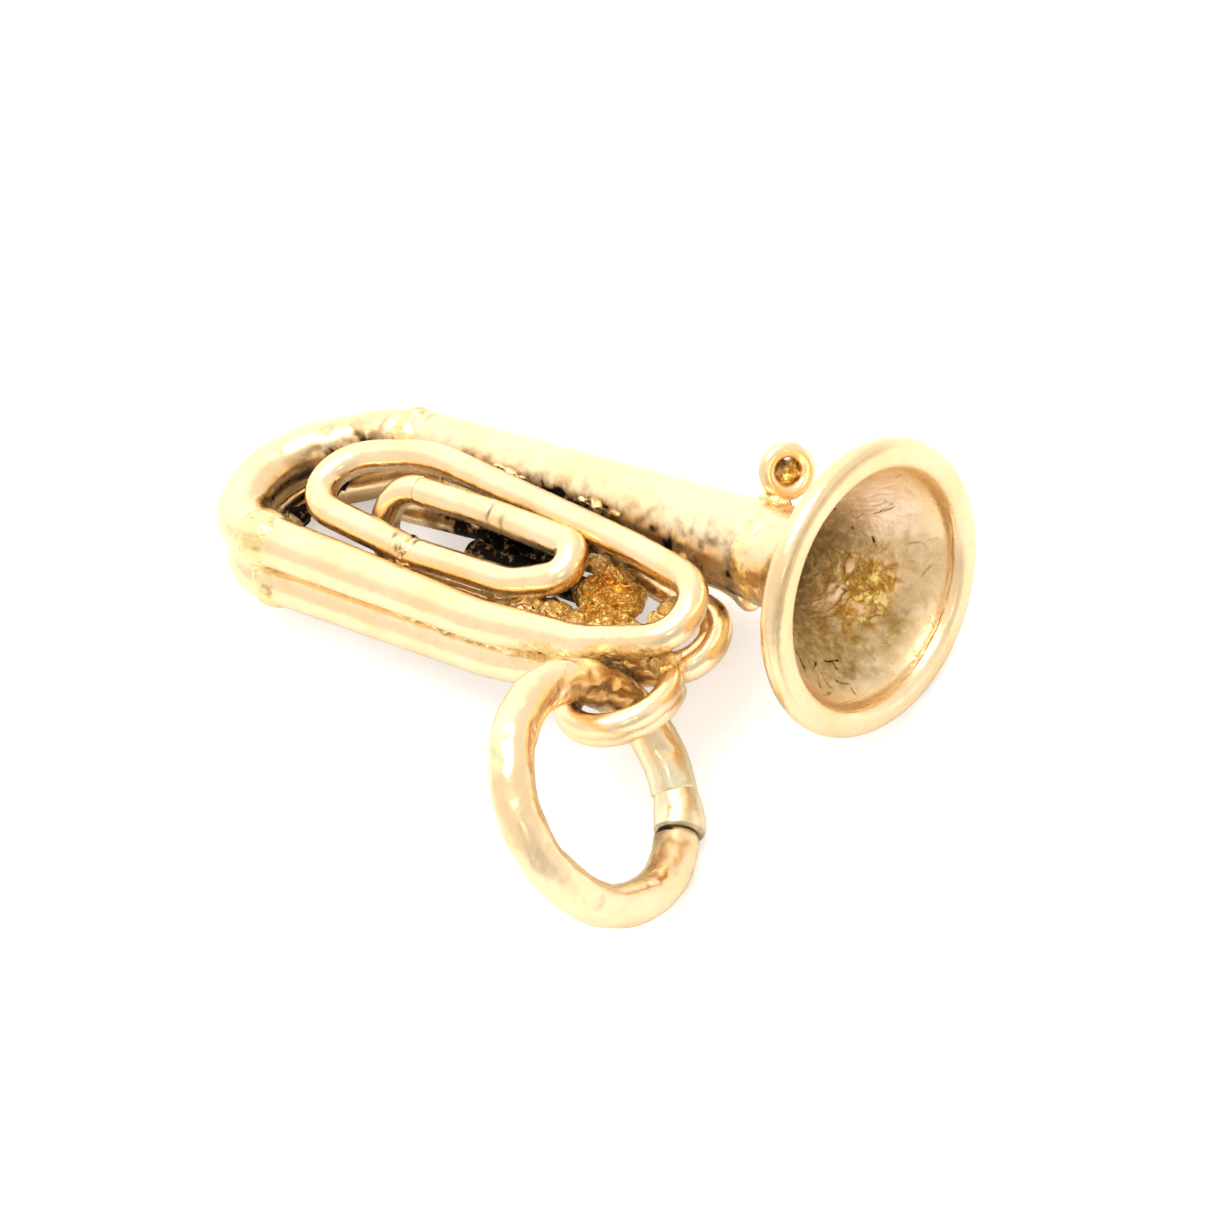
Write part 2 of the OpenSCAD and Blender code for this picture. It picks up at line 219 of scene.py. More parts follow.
def gold(name, light, deep, roughness, bump, grain, dirt_and_shade=(0.16, 0.075, 0.02), recess_shade_amount=1.0,
         tarnish=0.25, paler=(0.86, 0.80, 0.56), darkest=(0.016, 0.012, 0.010),
         crest_highlight_colour=(1.0, 0.84, 0.40), hollow_shade_colour=(0.88, 0.56, 0.16)):
    """Worn gold: two alloys' colours, brown painted shade in the recesses, smeared polish,
    scratches.
    """
    material = bpy.data.materials.new(name)
    material.use_nodes = True
    material.node_tree.nodes.clear()
    graph = Graph(material.node_tree)
    span, times, texture = graph.span, graph.times, graph.texture
    output = graph.add("ShaderNodeOutputMaterial")
    surface = graph.add("ShaderNodeBsdfPrincipled")
    surface.inputs["Metallic"].default_value = 1.0
    graph.feed(output.inputs[0], surface.outputs[0])
    place = graph.add("ShaderNodeTexCoord").outputs["Object"]
    paint = graph.add("ShaderNodeAttribute", attribute_name="paint")
    split = graph.add("ShaderNodeSeparateColor")
    graph.feed(split.inputs[0], paint.outputs["Color"])
    own_grime_and_shade, own_rough, pale = (split.outputs[key] for key in ("Red", "Green", "Blue"))
    crumpled = paint.outputs["Alpha"]

    # Broad drifts between the alloys, with darker freckles
    wide = texture(place, scale=520, detail=3.0)
    fine = texture(place, scale=4200, detail=4.0, rough=0.6)
    speck = texture(place, scale=9500, detail=2.0, rough=0.5)
    freckle_share, freckle_shade = 0.22, 0.8
    colour = graph.mix(span(wide, start=0.35, end=0.68), light, deep)
    freckles = times(span(fine, start=0.5, end=0.75), freckle_share)
    colour = graph.mix(freckles, colour, tuple(freckle_shade * part for part in deep))
    # Paler where the paint asks: pale metal, and on the bell painted light on the fair side
    colour = graph.mix(pale, colour, paler)
    # Crumpled metal: painted shade in the hollows and painted highlights on the crests, on the
    # folds that also raise the bump
    folds = texture(place, scale=4300, detail=5.0, rough=0.7, distortion=0.6)
    crest = span(folds, start=0.42, end=0.6)
    colour = graph.mix(crumpled, colour, graph.mix(crest, hollow_shade_colour, crest_highlight_colour))

    # Darkening: brown painted shade in patches in the recesses (ambient occlusion), the paint's
    # own darkening (grime, and painted shade on some parts), specks of tarnish; the darkest
    # goes near black
    recess = graph.add("ShaderNodeAmbientOcclusion", samples=2)
    recess.inputs["Distance"].default_value = 0.00055
    shade = span(recess.outputs["AO"], start=0.02, end=0.5, low=1.0, high=0.0)
    patch = span(texture(place, scale=2600, detail=4.0, rough=0.65), start=0.36, end=0.62)
    recess_share, speck_share = 0.85 * recess_shade_amount, 0.3 * tarnish
    grime_and_shade = times(times(shade, patch), recess_share)
    own = times(own_grime_and_shade, span(fine, start=0.25, end=0.6, low=0.55, high=1.15))
    grime_and_shade = graph.calc("MAXIMUM", grime_and_shade, own, clamp=True)
    specks = times(span(speck, start=0.66, end=0.8), speck_share)
    grime_and_shade = graph.plus(grime_and_shade, specks, clamp=True)
    colour = graph.mix(grime_and_shade, colour, dirt_and_shade)
    colour = graph.mix(span(grime_and_shade, start=0.72, end=1.0), colour, darkest)
    graph.feed(surface.inputs["Base Color"], colour)

    # Roughness: smeared polish, then what each kind of surface adds or takes
    line_rough, paint_rough, crumple_polish, grime_rough = 0.10, 0.16, 0.07, 0.4
    rough = span(texture(place, scale=1500, detail=4.0, rough=0.6), start=0.3, end=0.75,
                 low=roughness * 0.7, high=roughness * 1.5)
    first, second, third = (
        graph.scratches(place, angles, scale, stretch, start, end)
        for angles, scale, stretch, start, end in (
            ((0.3, 0.2, 0.9), 5200, 0.045, 0.6, 0.72),
            ((0.1, 1.1, -0.6), 6400, 0.05, 0.62, 0.74),
            ((1.2, -0.4, 0.2), 7000, 0.04, 0.63, 0.75),
        )
    )
    lines = graph.plus(graph.plus(first, second), third, clamp=True)
    rough = graph.plus(rough, times(lines, line_rough))
    rough = graph.plus(rough, times(own_rough, paint_rough))
    rough = graph.minus(rough, times(crumpled, crumple_polish))
    rough = graph.plus(rough, times(grime_and_shade, grime_rough), clamp=True)
    graph.feed(surface.inputs["Roughness"], rough)

    # Bump heights: orange peel, scratches, granules where rough, crests where crumpled
    fine_rise, speck_rise, line_depth = 0.35 * grain, 0.12 * grain, 0.22
    granule_rise, crest_rise = 3.0, 4.0
    rise = graph.plus(times(fine, fine_rise), times(speck, speck_rise))
    rise = graph.minus(rise, times(lines, line_depth))
    granules = texture(place, scale=7200, detail=3.0, rough=0.7)
    rise = graph.plus(rise, times(times(granules, own_rough), granule_rise))
    rise = graph.plus(rise, times(times(crest, crumpled), crest_rise))
    relief = graph.add("ShaderNodeBump")
    relief.inputs["Strength"].default_value = bump
    relief.inputs["Distance"].default_value = 0.0000085
    graph.feed(relief.inputs["Height"], rise)
    graph.feed(surface.inputs["Normal"], relief.outputs["Normal"])
    return material


WORN_GOLD = gold("worn_gold", light=(1.0, 0.78, 0.49), deep=(0.98, 0.70, 0.38),
                 roughness=0.21, bump=0.77, grain=1.4)
RING_GOLD = gold("ring_gold", light=(0.98, 0.76, 0.48), deep=(0.94, 0.69, 0.39),
                 roughness=0.24, bump=0.84, grain=1.6, tarnish=0.4)
SOLDER_GOLD = gold("pale_solder_gold", light=(1.0, 0.80, 0.43), deep=(0.97, 0.68, 0.26),
                   roughness=0.17, bump=0.98, grain=2.4, recess_shade_amount=0.55,
                   crest_highlight_colour=(1.0, 0.71, 0.20), hollow_shade_colour=(0.60, 0.25, 0.03))
# On the bell the paler colour is a pinkish tint for the painted light on the throat's fair
# side, and the brown is the throat's own colour and painted shade
BELL_GOLD = gold("bell_gold", light=(0.99, 0.77, 0.49), deep=(0.94, 0.68, 0.38),
                 roughness=0.24, bump=0.84, grain=1.8, dirt_and_shade=(0.32, 0.21, 0.06), tarnish=0.4,
                 paler=(1.0, 0.79, 0.60), darkest=(0.07, 0.045, 0.02),
                 crest_highlight_colour=(1.0, 0.75, 0.25), hollow_shade_colour=(0.64, 0.31, 0.05))

# ------------------------------------------------------------------ mesh builders
# Each builder returns points, faces and paint. A detail function takes the points, how far
# along they are and their angle round the section, and gives a rise and the paint.


def make(name, part, points, faces, paint, material, slot="yellow_gold", body="horn"):
    """Turn a builder's result into the object that stands for a CAD part."""
    mesh = bpy.data.meshes.new(name)
    corners = (move(LAY, points) * MM).astype(np.float32)
    mesh.vertices.add(len(corners))
    mesh.vertices.foreach_set("co", corners.ravel())
    sizes = np.array([len(face) for face in faces], np.int32)
    flat = np.concatenate(faces).astype(np.int32)
    mesh.loops.add(len(flat))
    mesh.loops.foreach_set("vertex_index", flat)
    mesh.polygons.add(len(sizes))
    starts = np.concatenate([[0], np.cumsum(sizes)[:-1]]).astype(np.int32)
    mesh.polygons.foreach_set("loop_start", starts)
    mesh.update(calc_edges=True)
    mesh.validate()
    bm = bmesh.new()
    bm.from_mesh(mesh)
    bmesh.ops.recalc_face_normals(bm, faces=bm.faces)
    bm.to_mesh(mesh)
    bm.free()
    mesh.polygons.foreach_set("use_smooth", np.ones(len(mesh.polygons), bool))
    layer = mesh.attributes.new("paint", "FLOAT_COLOR", "POINT")
    layer.data.foreach_set("color", np.clip(paint, 0, 1).astype(np.float32).ravel())
    mesh.materials.append(material)
    piece = bpy.data.objects.new(name, mesh)
    bpy.context.scene.collection.objects.link(piece)
    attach(piece, body)
    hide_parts(part)


def around(count):
    return np.linspace(0, 2 * math.pi, count, endpoint=False)


def arc_length(points):
    steps = np.linalg.norm(np.diff(points, axis=0), axis=1)
    return np.concatenate([[0], np.cumsum(steps)])


def grid_faces(rows, columns, close_rows=False):
    """Quads of a grid of points, round in columns, and round in rows if close_rows."""
    bands = rows if close_rows else rows - 1
    i = np.repeat(np.arange(bands), columns)
    j = np.tile(np.arange(columns), bands)
    following, beside = (i + 1) % rows, (j + 1) % columns
    return np.stack([i * columns + j, following * columns + j,
                     following * columns + beside, i * columns + beside], 1)


def curve(points, count):
    """Catmull-Rom curve through the points, with about count samples."""
    knots = np.array(points, float)
    knots = np.concatenate([[2 * knots[0] - knots[1]], knots, [2 * knots[-1] - knots[-2]]])
    lengths = np.linalg.norm(np.diff(knots[1:-1], axis=0), axis=1)
    total = lengths.sum()
    samples = []
    for i, length in enumerate(lengths):
        p0, p1, p2, p3 = knots[i : i + 4]
        steps = max(2, int(round(count * length / total)))
        for t in np.linspace(0, 1, steps, endpoint=False):
            samples.append(0.5 * ((2 * p1) + (-p0 + p2) * t
                                  + (2 * p0 - 5 * p1 + 4 * p2 - p3) * t * t
                                  + (-p0 + 3 * p1 - 3 * p2 + p3) * t**3))
    samples.append(knots[-2])
    return np.array(samples)


def circle_path(radius, start, sweep, step=0.04):
    """Points of an arc. start and sweep are in degrees."""
    count = max(24, int(abs(math.radians(sweep)) * radius / step))
    full = abs(sweep) >= 360
    angle = np.radians(np.linspace(start, start + sweep, count, endpoint=not full))
    return np.stack([radius * np.cos(angle), radius * np.sin(angle)], 1)


def soften(values, sigma, spacing):
    """Gaussian blur that holds the two end values."""
    reach = max(1, int(3 * sigma / spacing))
    offsets = np.arange(-reach, reach + 1) * spacing
    weights = np.exp(-0.5 * (offsets / sigma) ** 2)
    weights /= weights.sum()
    padded = np.concatenate([2 * values[0] - values[reach:0:-1], values,
                             2 * values[-1] - values[-2 : -reach - 2 : -1]])
    return np.convolve(padded, weights, "valid")


def sample(path, widths, step=0.045, soft=0.16, soft_width=0.35):
    """Points and tube radii along a flat path of [x, y, bend radius], spaced by step.

    soft and soft_width blur the path and the radii, so that bends flow into straights.
    """
    corners = [np.array(corner, float) for corner in path]
    if np.isscalar(widths):
        widths = [widths] * len(corners)
    points, radii = [], []
    current = corners[0][:2]
    for i in range(1, len(corners)):
        bent = i < len(corners) - 1
        corner = start = corners[i][:2]
        if bent:
            bend_radius = corners[i][2]
            before, after = corners[i - 1][:2] - corner, corners[i + 1][:2] - corner
            before = before / np.linalg.norm(before)
            after = after / np.linalg.norm(after)
            half = math.acos(np.clip(before @ after, -1, 1)) / 2
            start = corner + before * bend_radius / math.tan(half)
            end = corner + after * bend_radius / math.tan(half)
            middle = before + after
            centre = corner + middle / np.linalg.norm(middle) * bend_radius / math.sin(half)
        count = max(2, int(np.linalg.norm(start - current) / step))
        for k in range(count):
            points.append(current + (start - current) * k / count)
            radii.append(widths[i - 1] + (widths[i] - widths[i - 1]) * k / count)
        if bent:
            angle = math.atan2(*(start - centre)[::-1])
            sweep = math.atan2(*(end - centre)[::-1]) - angle
            sweep = (sweep + math.pi) % (2 * math.pi) - math.pi
            count = max(3, int(abs(sweep) * bend_radius / step))
            for k in range(count):
                t = angle + sweep * k / count
                points.append(centre + bend_radius * np.array([math.cos(t), math.sin(t)]))
                radii.append(widths[i])
            current = end
        else:
            points.append(start)
            radii.append(widths[i])
    points, radii = np.array(points), np.array(radii)
    along = arc_length(points)
    count = max(8, int(along[-1] / step))
    even = np.linspace(0, along[-1], count)
    x, y, radii = (np.interp(even, along, row) for row in (*points.T, radii))
    spacing = even[1]
    if count > 2 * int(3 * max(soft, soft_width) / spacing) + 4:
        x, y = soften(x, soft, spacing), soften(y, soft, spacing)
        radii = soften(radii, soft_width, spacing)
    return np.stack([x, y], 1), radii


def frames(centres, up, closed=False):
    """Tangent, side and up directions along a line."""
    if closed:
        tangent = np.roll(centres, -1, 0) - np.roll(centres, 1, 0)
    else:
        tangent = np.gradient(centres, axis=0)
    tangent /= np.linalg.norm(tangent, axis=1)[:, None]
    side = np.cross(up, tangent)
    side /= np.linalg.norm(side, axis=1)[:, None]
    return tangent, side, np.cross(tangent, side)


def sections(centres, side, up, radii, segments):
    """Points, normals and angles of the rings round a line."""
    angle = around(segments)
    normals = (side[:, None, :] * np.cos(angle)[None, :, None]
               + up[:, None, :] * np.sin(angle)[None, :, None])
    points = centres[:, None, :] + normals * radii[:, None, None]
    return points.reshape(-1, 3), normals.reshape(-1, 3), np.tile(angle, len(centres))


def cap_rings(tip, outward, radius, edge):
    """Centres and radii of rings that close a tube: a rounded edge, then inward."""
    edge_steps, inward_steps = 5, 4
    base = tip - outward * edge
    centres, radii = [], []
    for k in range(1, edge_steps + 1):
        angle = math.pi / 2 * k / edge_steps
        centres.append(base + outward * edge * math.sin(angle))
        radii.append(radius - edge + edge * math.cos(angle))
    rim = radii[-1]
    for k in range(1, inward_steps):
        centres.append(centres[-1])
        radii.append(rim * (1 - k / inward_steps))
    return np.array(centres), np.array(radii)


def tube(place, path, radius, segments, detail, edge=(0.05, 0.05), closed=False):
    """A wire swept along a flat path that place sets in the horn's frame.

    radius is one number or one for each point. edge rounds the first and last ends.
    """
    centres = lift(place, path)
    radii = np.broadcast_to(radius, len(path))
    tangent, side, up = frames(centres, place[:3, 2], closed)
    along = arc_length(centres)
    if not closed:
        # The caps take up the edge lengths, so the path gives way by as much
        first = max(1, int(np.searchsorted(along, edge[0])))
        last = min(len(along) - 1, int(np.searchsorted(along, along[-1] - edge[1])))
        start_centres, start_radii = cap_rings(centres[0], -tangent[0], radii[0], edge[0])
        end_centres, end_radii = cap_rings(centres[-1], tangent[-1], radii[-1], edge[1])
        rows = np.r_[[0] * len(start_radii), first:last, [-1] * len(end_radii)]
        side, up, along = side[rows], up[rows], along[rows]
        centres = np.concatenate([start_centres[::-1], centres[first:last], end_centres])
        radii = np.concatenate([start_radii[::-1], radii[first:last], end_radii])
    points, normals, angle = sections(centres, side, up, radii, segments)
    rise, paint = detail(points, np.repeat(along, segments), angle)
    thin = np.minimum(1, np.repeat(radii, segments) / 0.05)
    points = points + normals * (rise * thin)[:, None]
    faces = grid_faces(len(centres), segments, closed)
    if closed:
        return points, faces, paint
    j = np.arange(segments)
    beside = (j + 1) % segments
    tip, offset = len(points), (len(centres) - 1) * segments
    start_fan = np.stack([np.full(segments, tip), j, beside], 1)
    end_fan = np.stack([np.full(segments, tip + 1), offset + beside, offset + j], 1)
    points = np.concatenate([points, [centres[0]], [centres[-1]]])
    paint = np.concatenate([paint, paint[:1], paint[-1:]])
    return points, list(faces) + list(start_fan) + list(end_fan), paint


def wire(name, part, place, path, radius, segments, detail, material=WORN_GOLD,
         edge=(0.05, 0.05), closed=False, **told):
    shape = tube(place, path, radius, segments, detail, edge, closed)
    make(name, part, *shape, material, **told)


def hollow(centres, up, outer, bore, segments, detail):
    """A pipe, open right through: outside and bore joined round the ends."""
    count = len(centres)
    _, side, up = frames(centres, up)
    points, normals, angle = sections(centres, side, up, outer, segments)
    rise, paint = detail(points, np.repeat(arc_length(centres), segments), angle)
    points = points + normals * rise[:, None]
    # The bore runs back with a quarter of the rings
    rows = np.arange(0, count, 4)
    if rows[-1] != count - 1:
        rows = np.append(rows, count - 1)
    rows = rows[::-1]
    inside, _, _ = sections(centres[rows], side[rows], up[rows], bore[rows], segments)
    bore_paint = np.tile([0.6, 0.5, 0, 0], (len(inside), 1))
    return (np.concatenate([points, inside]),
            grid_faces(count + len(rows), segments, True),
            np.concatenate([paint, bore_paint]))


def lathe(profile, segments, detail):
    """A closed profile of [radius, x] points turned about X."""
    angle = around(segments)
    radius, x = profile.T
    tangent = np.roll(profile, -1, 0) - np.roll(profile, 1, 0)
    tangent /= np.linalg.norm(tangent, axis=1)[:, None] + 1e-12
    normal_radius, normal_x = tangent[:, 1], -tangent[:, 0]
    if 0.5 * np.sum(radius * np.roll(x, -1) - np.roll(radius, -1) * x) < 0:
        normal_radius, normal_x = -normal_radius, -normal_x

    def spin(along_axis, outward):
        return np.stack([np.repeat(along_axis, segments),
                         (outward[:, None] * np.cos(angle)).ravel(),
                         (outward[:, None] * np.sin(angle)).ravel()], 1)

    points = spin(x, radius)
    row = np.repeat(np.arange(len(profile)), segments)
    rise, paint = detail(points, row, np.tile(angle, len(profile)))
    points = points + spin(normal_x, normal_radius) * rise[:, None]
    return points, grid_faces(len(profile), segments, True), paint


def seam(name, part, place, tube_radius, half_length, height, seed, segments,
         section_segments, lump=0.35, ragged=0.35, freq=3.0):
    """A lens-section ring of solder round a tube that runs along place's X axis.

    lump varies its height and ragged its length round the tube.
    """
    sunk = 0.04
    angle, section = around(segments), around(section_segments)
    cos_angle, sin_angle = np.cos(angle)[:, None], np.sin(angle)[:, None]
    cos_section, sin_section = np.cos(section)[None], np.sin(section)[None]
    circle = np.stack([np.zeros(segments), np.cos(angle) * tube_radius,
                       np.sin(angle) * tube_radius], 1)
    lengths = 1 + ragged * fbm(circle, freq, octaves=3, seed=seed)
    heights = 1 + lump * fbm(circle, freq * 0.8, octaves=3, seed=seed + 4)
    drift = 0.25 * half_length * fbm(circle, freq * 0.7, octaves=2, seed=seed + 6)
    x = half_length * lengths[:, None] * cos_section + drift[:, None]
    lens = np.abs(sin_section) ** 2.2 * np.sign(sin_section)
    radius = tube_radius - sunk + (height + sunk) * heights[:, None] * lens
    points = np.stack([x, radius * cos_angle, radius * sin_angle], 2).reshape(-1, 3)
    normals = np.stack([np.repeat(cos_section, segments, 0) * height,
                        sin_section * cos_angle * half_length,
                        sin_section * sin_angle * half_length], 2).reshape(-1, 3)
    normals /= np.linalg.norm(normals, axis=1)[:, None]
    grain = 0.012 * fbm(points, 8.0, octaves=3, seed=seed + 8, gain=0.6)
    points = points + normals * grain[:, None]
    grime_and_shade = 0.35 * ease(0.1, 0.5, fbm(points, 5.0, octaves=3, seed=seed + 10))
    count = len(points)
    paint = np.stack([grime_and_shade, np.full(count, 0.55), np.full(count, 0.15), np.zeros(count)], 1)
    make(name, part, move(place, points), grid_faces(segments, section_segments, True), paint,
         SOLDER_GOLD, slot="pale_solder")


def lumps(name, part, balls, seed, rough, freq, grime_and_shade, smooth=7, voxel=0.02, ridge=0.0,
          zones=None):
    """Solder: ellipsoids fused on a fine grid, smoothed into each other, then grained.

    A ball is a centre, one radius or three, and perhaps a turn about Z in degrees. rough and
    ridge are heights of grain and folds. zones repaints the result in place.
    """
    bm = bmesh.new()
    for centre, radii, *angle in balls:
        radii = (radii, radii, radii) if np.isscalar(radii) else radii
        turned = Matrix(turn("z", angle[0] if angle else 0).tolist())
        place = Matrix.Translation(Vector(centre)) @ turned @ Matrix.Diagonal((*radii, 1.0))
        bmesh.ops.create_icosphere(bm, subdivisions=4, radius=1.0, matrix=place)
    mesh = bpy.data.meshes.new("tmp")
    bm.to_mesh(mesh)
    bm.free()
    blank = bpy.data.objects.new("tmp", mesh)
    bpy.context.scene.collection.objects.link(blank)
    fuse = blank.modifiers.new("v", "REMESH")
    fuse.mode = "VOXEL"
    fuse.voxel_size = voxel
    relax = blank.modifiers.new("s", "SMOOTH")
    relax.factor = 0.5
    relax.iterations = smooth
    graph = bpy.context.evaluated_depsgraph_get()
    fused = bpy.data.meshes.new_from_object(blank.evaluated_get(graph), depsgraph=graph)
    points = np.zeros(len(fused.vertices) * 3, np.float32)
    fused.vertices.foreach_get("co", points)
    points = points.reshape(-1, 3).astype(float)
    normals = np.array([tuple(normal.vector) for normal in fused.vertex_normals], float)
    faces = [tuple(face.vertices) for face in fused.polygons]
    bpy.data.objects.remove(blank)

    rise = rough * fbm(points, freq, octaves=4, seed=seed, gain=0.6)
    if ridge:
        rise = rise + ridge * (0.28 - np.abs(noise(points, 2.6, seed=seed + 11)))
        rise = rise + 0.4 * ridge * (0.28 - np.abs(noise(points, 5.6, seed=seed + 12)))
    points = points + normals * rise[:, None]
    dirt_and_shade = grime_and_shade * ease(0.0, 0.45, fbm(points, freq * 0.6, octaves=3, seed=seed + 3))
    # Painted shade in the grain's hollows, where there are no folds
    if not ridge:
        dirt_and_shade = dirt_and_shade + 0.6 * ease(-0.15, -0.45, rise / rough)
    count = len(points)
    paint = np.stack([np.clip(dirt_and_shade, 0, 1), np.full(count, 0.8), np.full(count, 0.1),
                      np.zeros(count)], 1)
    if zones is not None:
        zones(points, paint)
    make(name, part, points, faces, paint, SOLDER_GOLD, slot="pale_solder")


# ------------------------------------------------------------------ hand-made surface


def marks_on(points, marks):
    """Rise and grime of soft dents and lumps: (centre, radii, rise, grime)."""
    rise, grime_and_shade = np.zeros(len(points)), np.zeros(len(points))
    for centre, radii, mark_rise, mark_grime in marks:
        offset = (points - np.array(centre)) / np.array(radii, float)
        close = np.where((offset * offset).sum(1) < 9)[0]
        soft = np.exp(-((offset[close] ** 2).sum(1)))
        rise[close] += mark_rise * soft
        grime_and_shade[close] += mark_grime * soft
    return rise, grime_and_shade


def worn(seed, wobble=0.006, mid=0.003, fine=0.001, marks=(), rough=None, dirt_and_shade=None,
         foil=None):
    """Detail of hand-worked wire: slow wobble, small flats, orange peel, dents and pits.

    wobble, mid and fine are heights. rough and foil give masks from the points, and the
    darkening function gives one from the points and their angles: grime, and on some wires
    painted shade.
    """

    def detail(points, _along, angle):
        rise = (wobble * noise(points, 0.75, seed=seed)
                + mid * fbm(points, 2.6, octaves=2, seed=seed + 3)
                + 1.5 * fine * noise(points, 9.0, seed=seed + 5))
        rise = rise - 0.006 * ease(0.25, 0.75, noise(points, 2.9, seed=seed + 6))
        dents, grime_and_shade = marks_on(points, marks)
        rise = rise + dents
        none = np.zeros(len(points))
        roughness = crumpled = none
        if rough is not None:
            roughness = rough(points)
            grain = fbm(points, 7.0, octaves=3, seed=seed + 9, gain=0.6)
            rise = rise + 0.016 * roughness * grain
        if dirt_and_shade is not None:
            grime_and_shade = grime_and_shade + dirt_and_shade(points, angle)
        if foil is not None:
            crumpled = foil(points)
            folds = (0.42 - np.abs(noise(points, 4.6, seed=seed + 15))
                     - 0.5 * np.abs(noise(points, 8.6, seed=seed + 16)))
            rise = rise + 0.05 * crumpled * folds
            roughness = roughness + 0.6 * crumpled
        return rise, np.stack([np.clip(grime_and_shade, 0, 1), np.clip(roughness, 0, 1), none,
                               np.clip(0.8 * crumpled, 0, 1)], 1)

    return detail


# ------------------------------------------------------------------ bell

NECK_X = -2.6
NECK_BORE = 0.66
# [radius, x]: the inside from the neck out over the lip, then the outside back
BELL_INSIDE = [
    [NECK_BORE, NECK_X], [0.80, -2.2], [1.00, -1.8], [1.26, -1.4], [1.62, -1.0],
    [2.08, -0.6], [2.36, -0.33], [2.52, -0.12], [2.585, 0.06], [2.655, 0.225],
    [2.75, 0.303], [2.86, 0.326], [2.92, 0.29],
]
BELL_OUTSIDE = [[2.84, -0.22], [2.44, -0.58], [1.96, -0.98], [1.55, -1.4], [1.30, -1.8],
                [1.16, -2.2], [1.08, NECK_X]]
# Radius to which scratches are developed, by x
SCRATCH_X, SCRATCH_RADIUS = [NECK_X, -1.4, -0.6, -0.12], [NECK_BORE, 1.26, 2.08, 2.66]
# Ranges of a scratch's angle, x, run round the bell, run along it, width and depth
SCRATCH_RANGES = [(0, 2 * math.pi), (-1.5, -0.25), (-0.5, 0.5), (-0.35, 0.35),
                  (0.012, 0.03), (0.25, 0.8)]
scratch_rng = np.random.RandomState(5)
SCRATCHES = [[scratch_rng.uniform(*limits) for limits in SCRATCH_RANGES] for _ in range(46)]

bell_inner = curve(BELL_INSIDE, 150)
bell_outer = curve(BELL_OUTSIDE, 64)


def scratch_line(x, angle, middle, middle_x, turn_run, x_run, width):
    """1 on a short bent line on the developed bell surface, 0 away from it."""
    radius = np.interp(middle_x, SCRATCH_X, SCRATCH_RADIUS)
    across = ((angle - middle + math.pi) % (2 * math.pi) - math.pi) * radius
    down = (x - middle_x) * 1.35
    run, fall = turn_run * 0.55, x_run * 0.9
    length = math.hypot(run, fall) + 1e-6
    along = np.clip((across * run + down * fall) / length, -length / 2, length / 2)
    bend = 0.12 * np.sin(along * 5 + middle * 7)
    distance = np.hypot(across - along * run / length + bend * fall / length,
                        down - along * fall / length - bend * run / length)
    return np.exp(-((distance / width) ** 2))


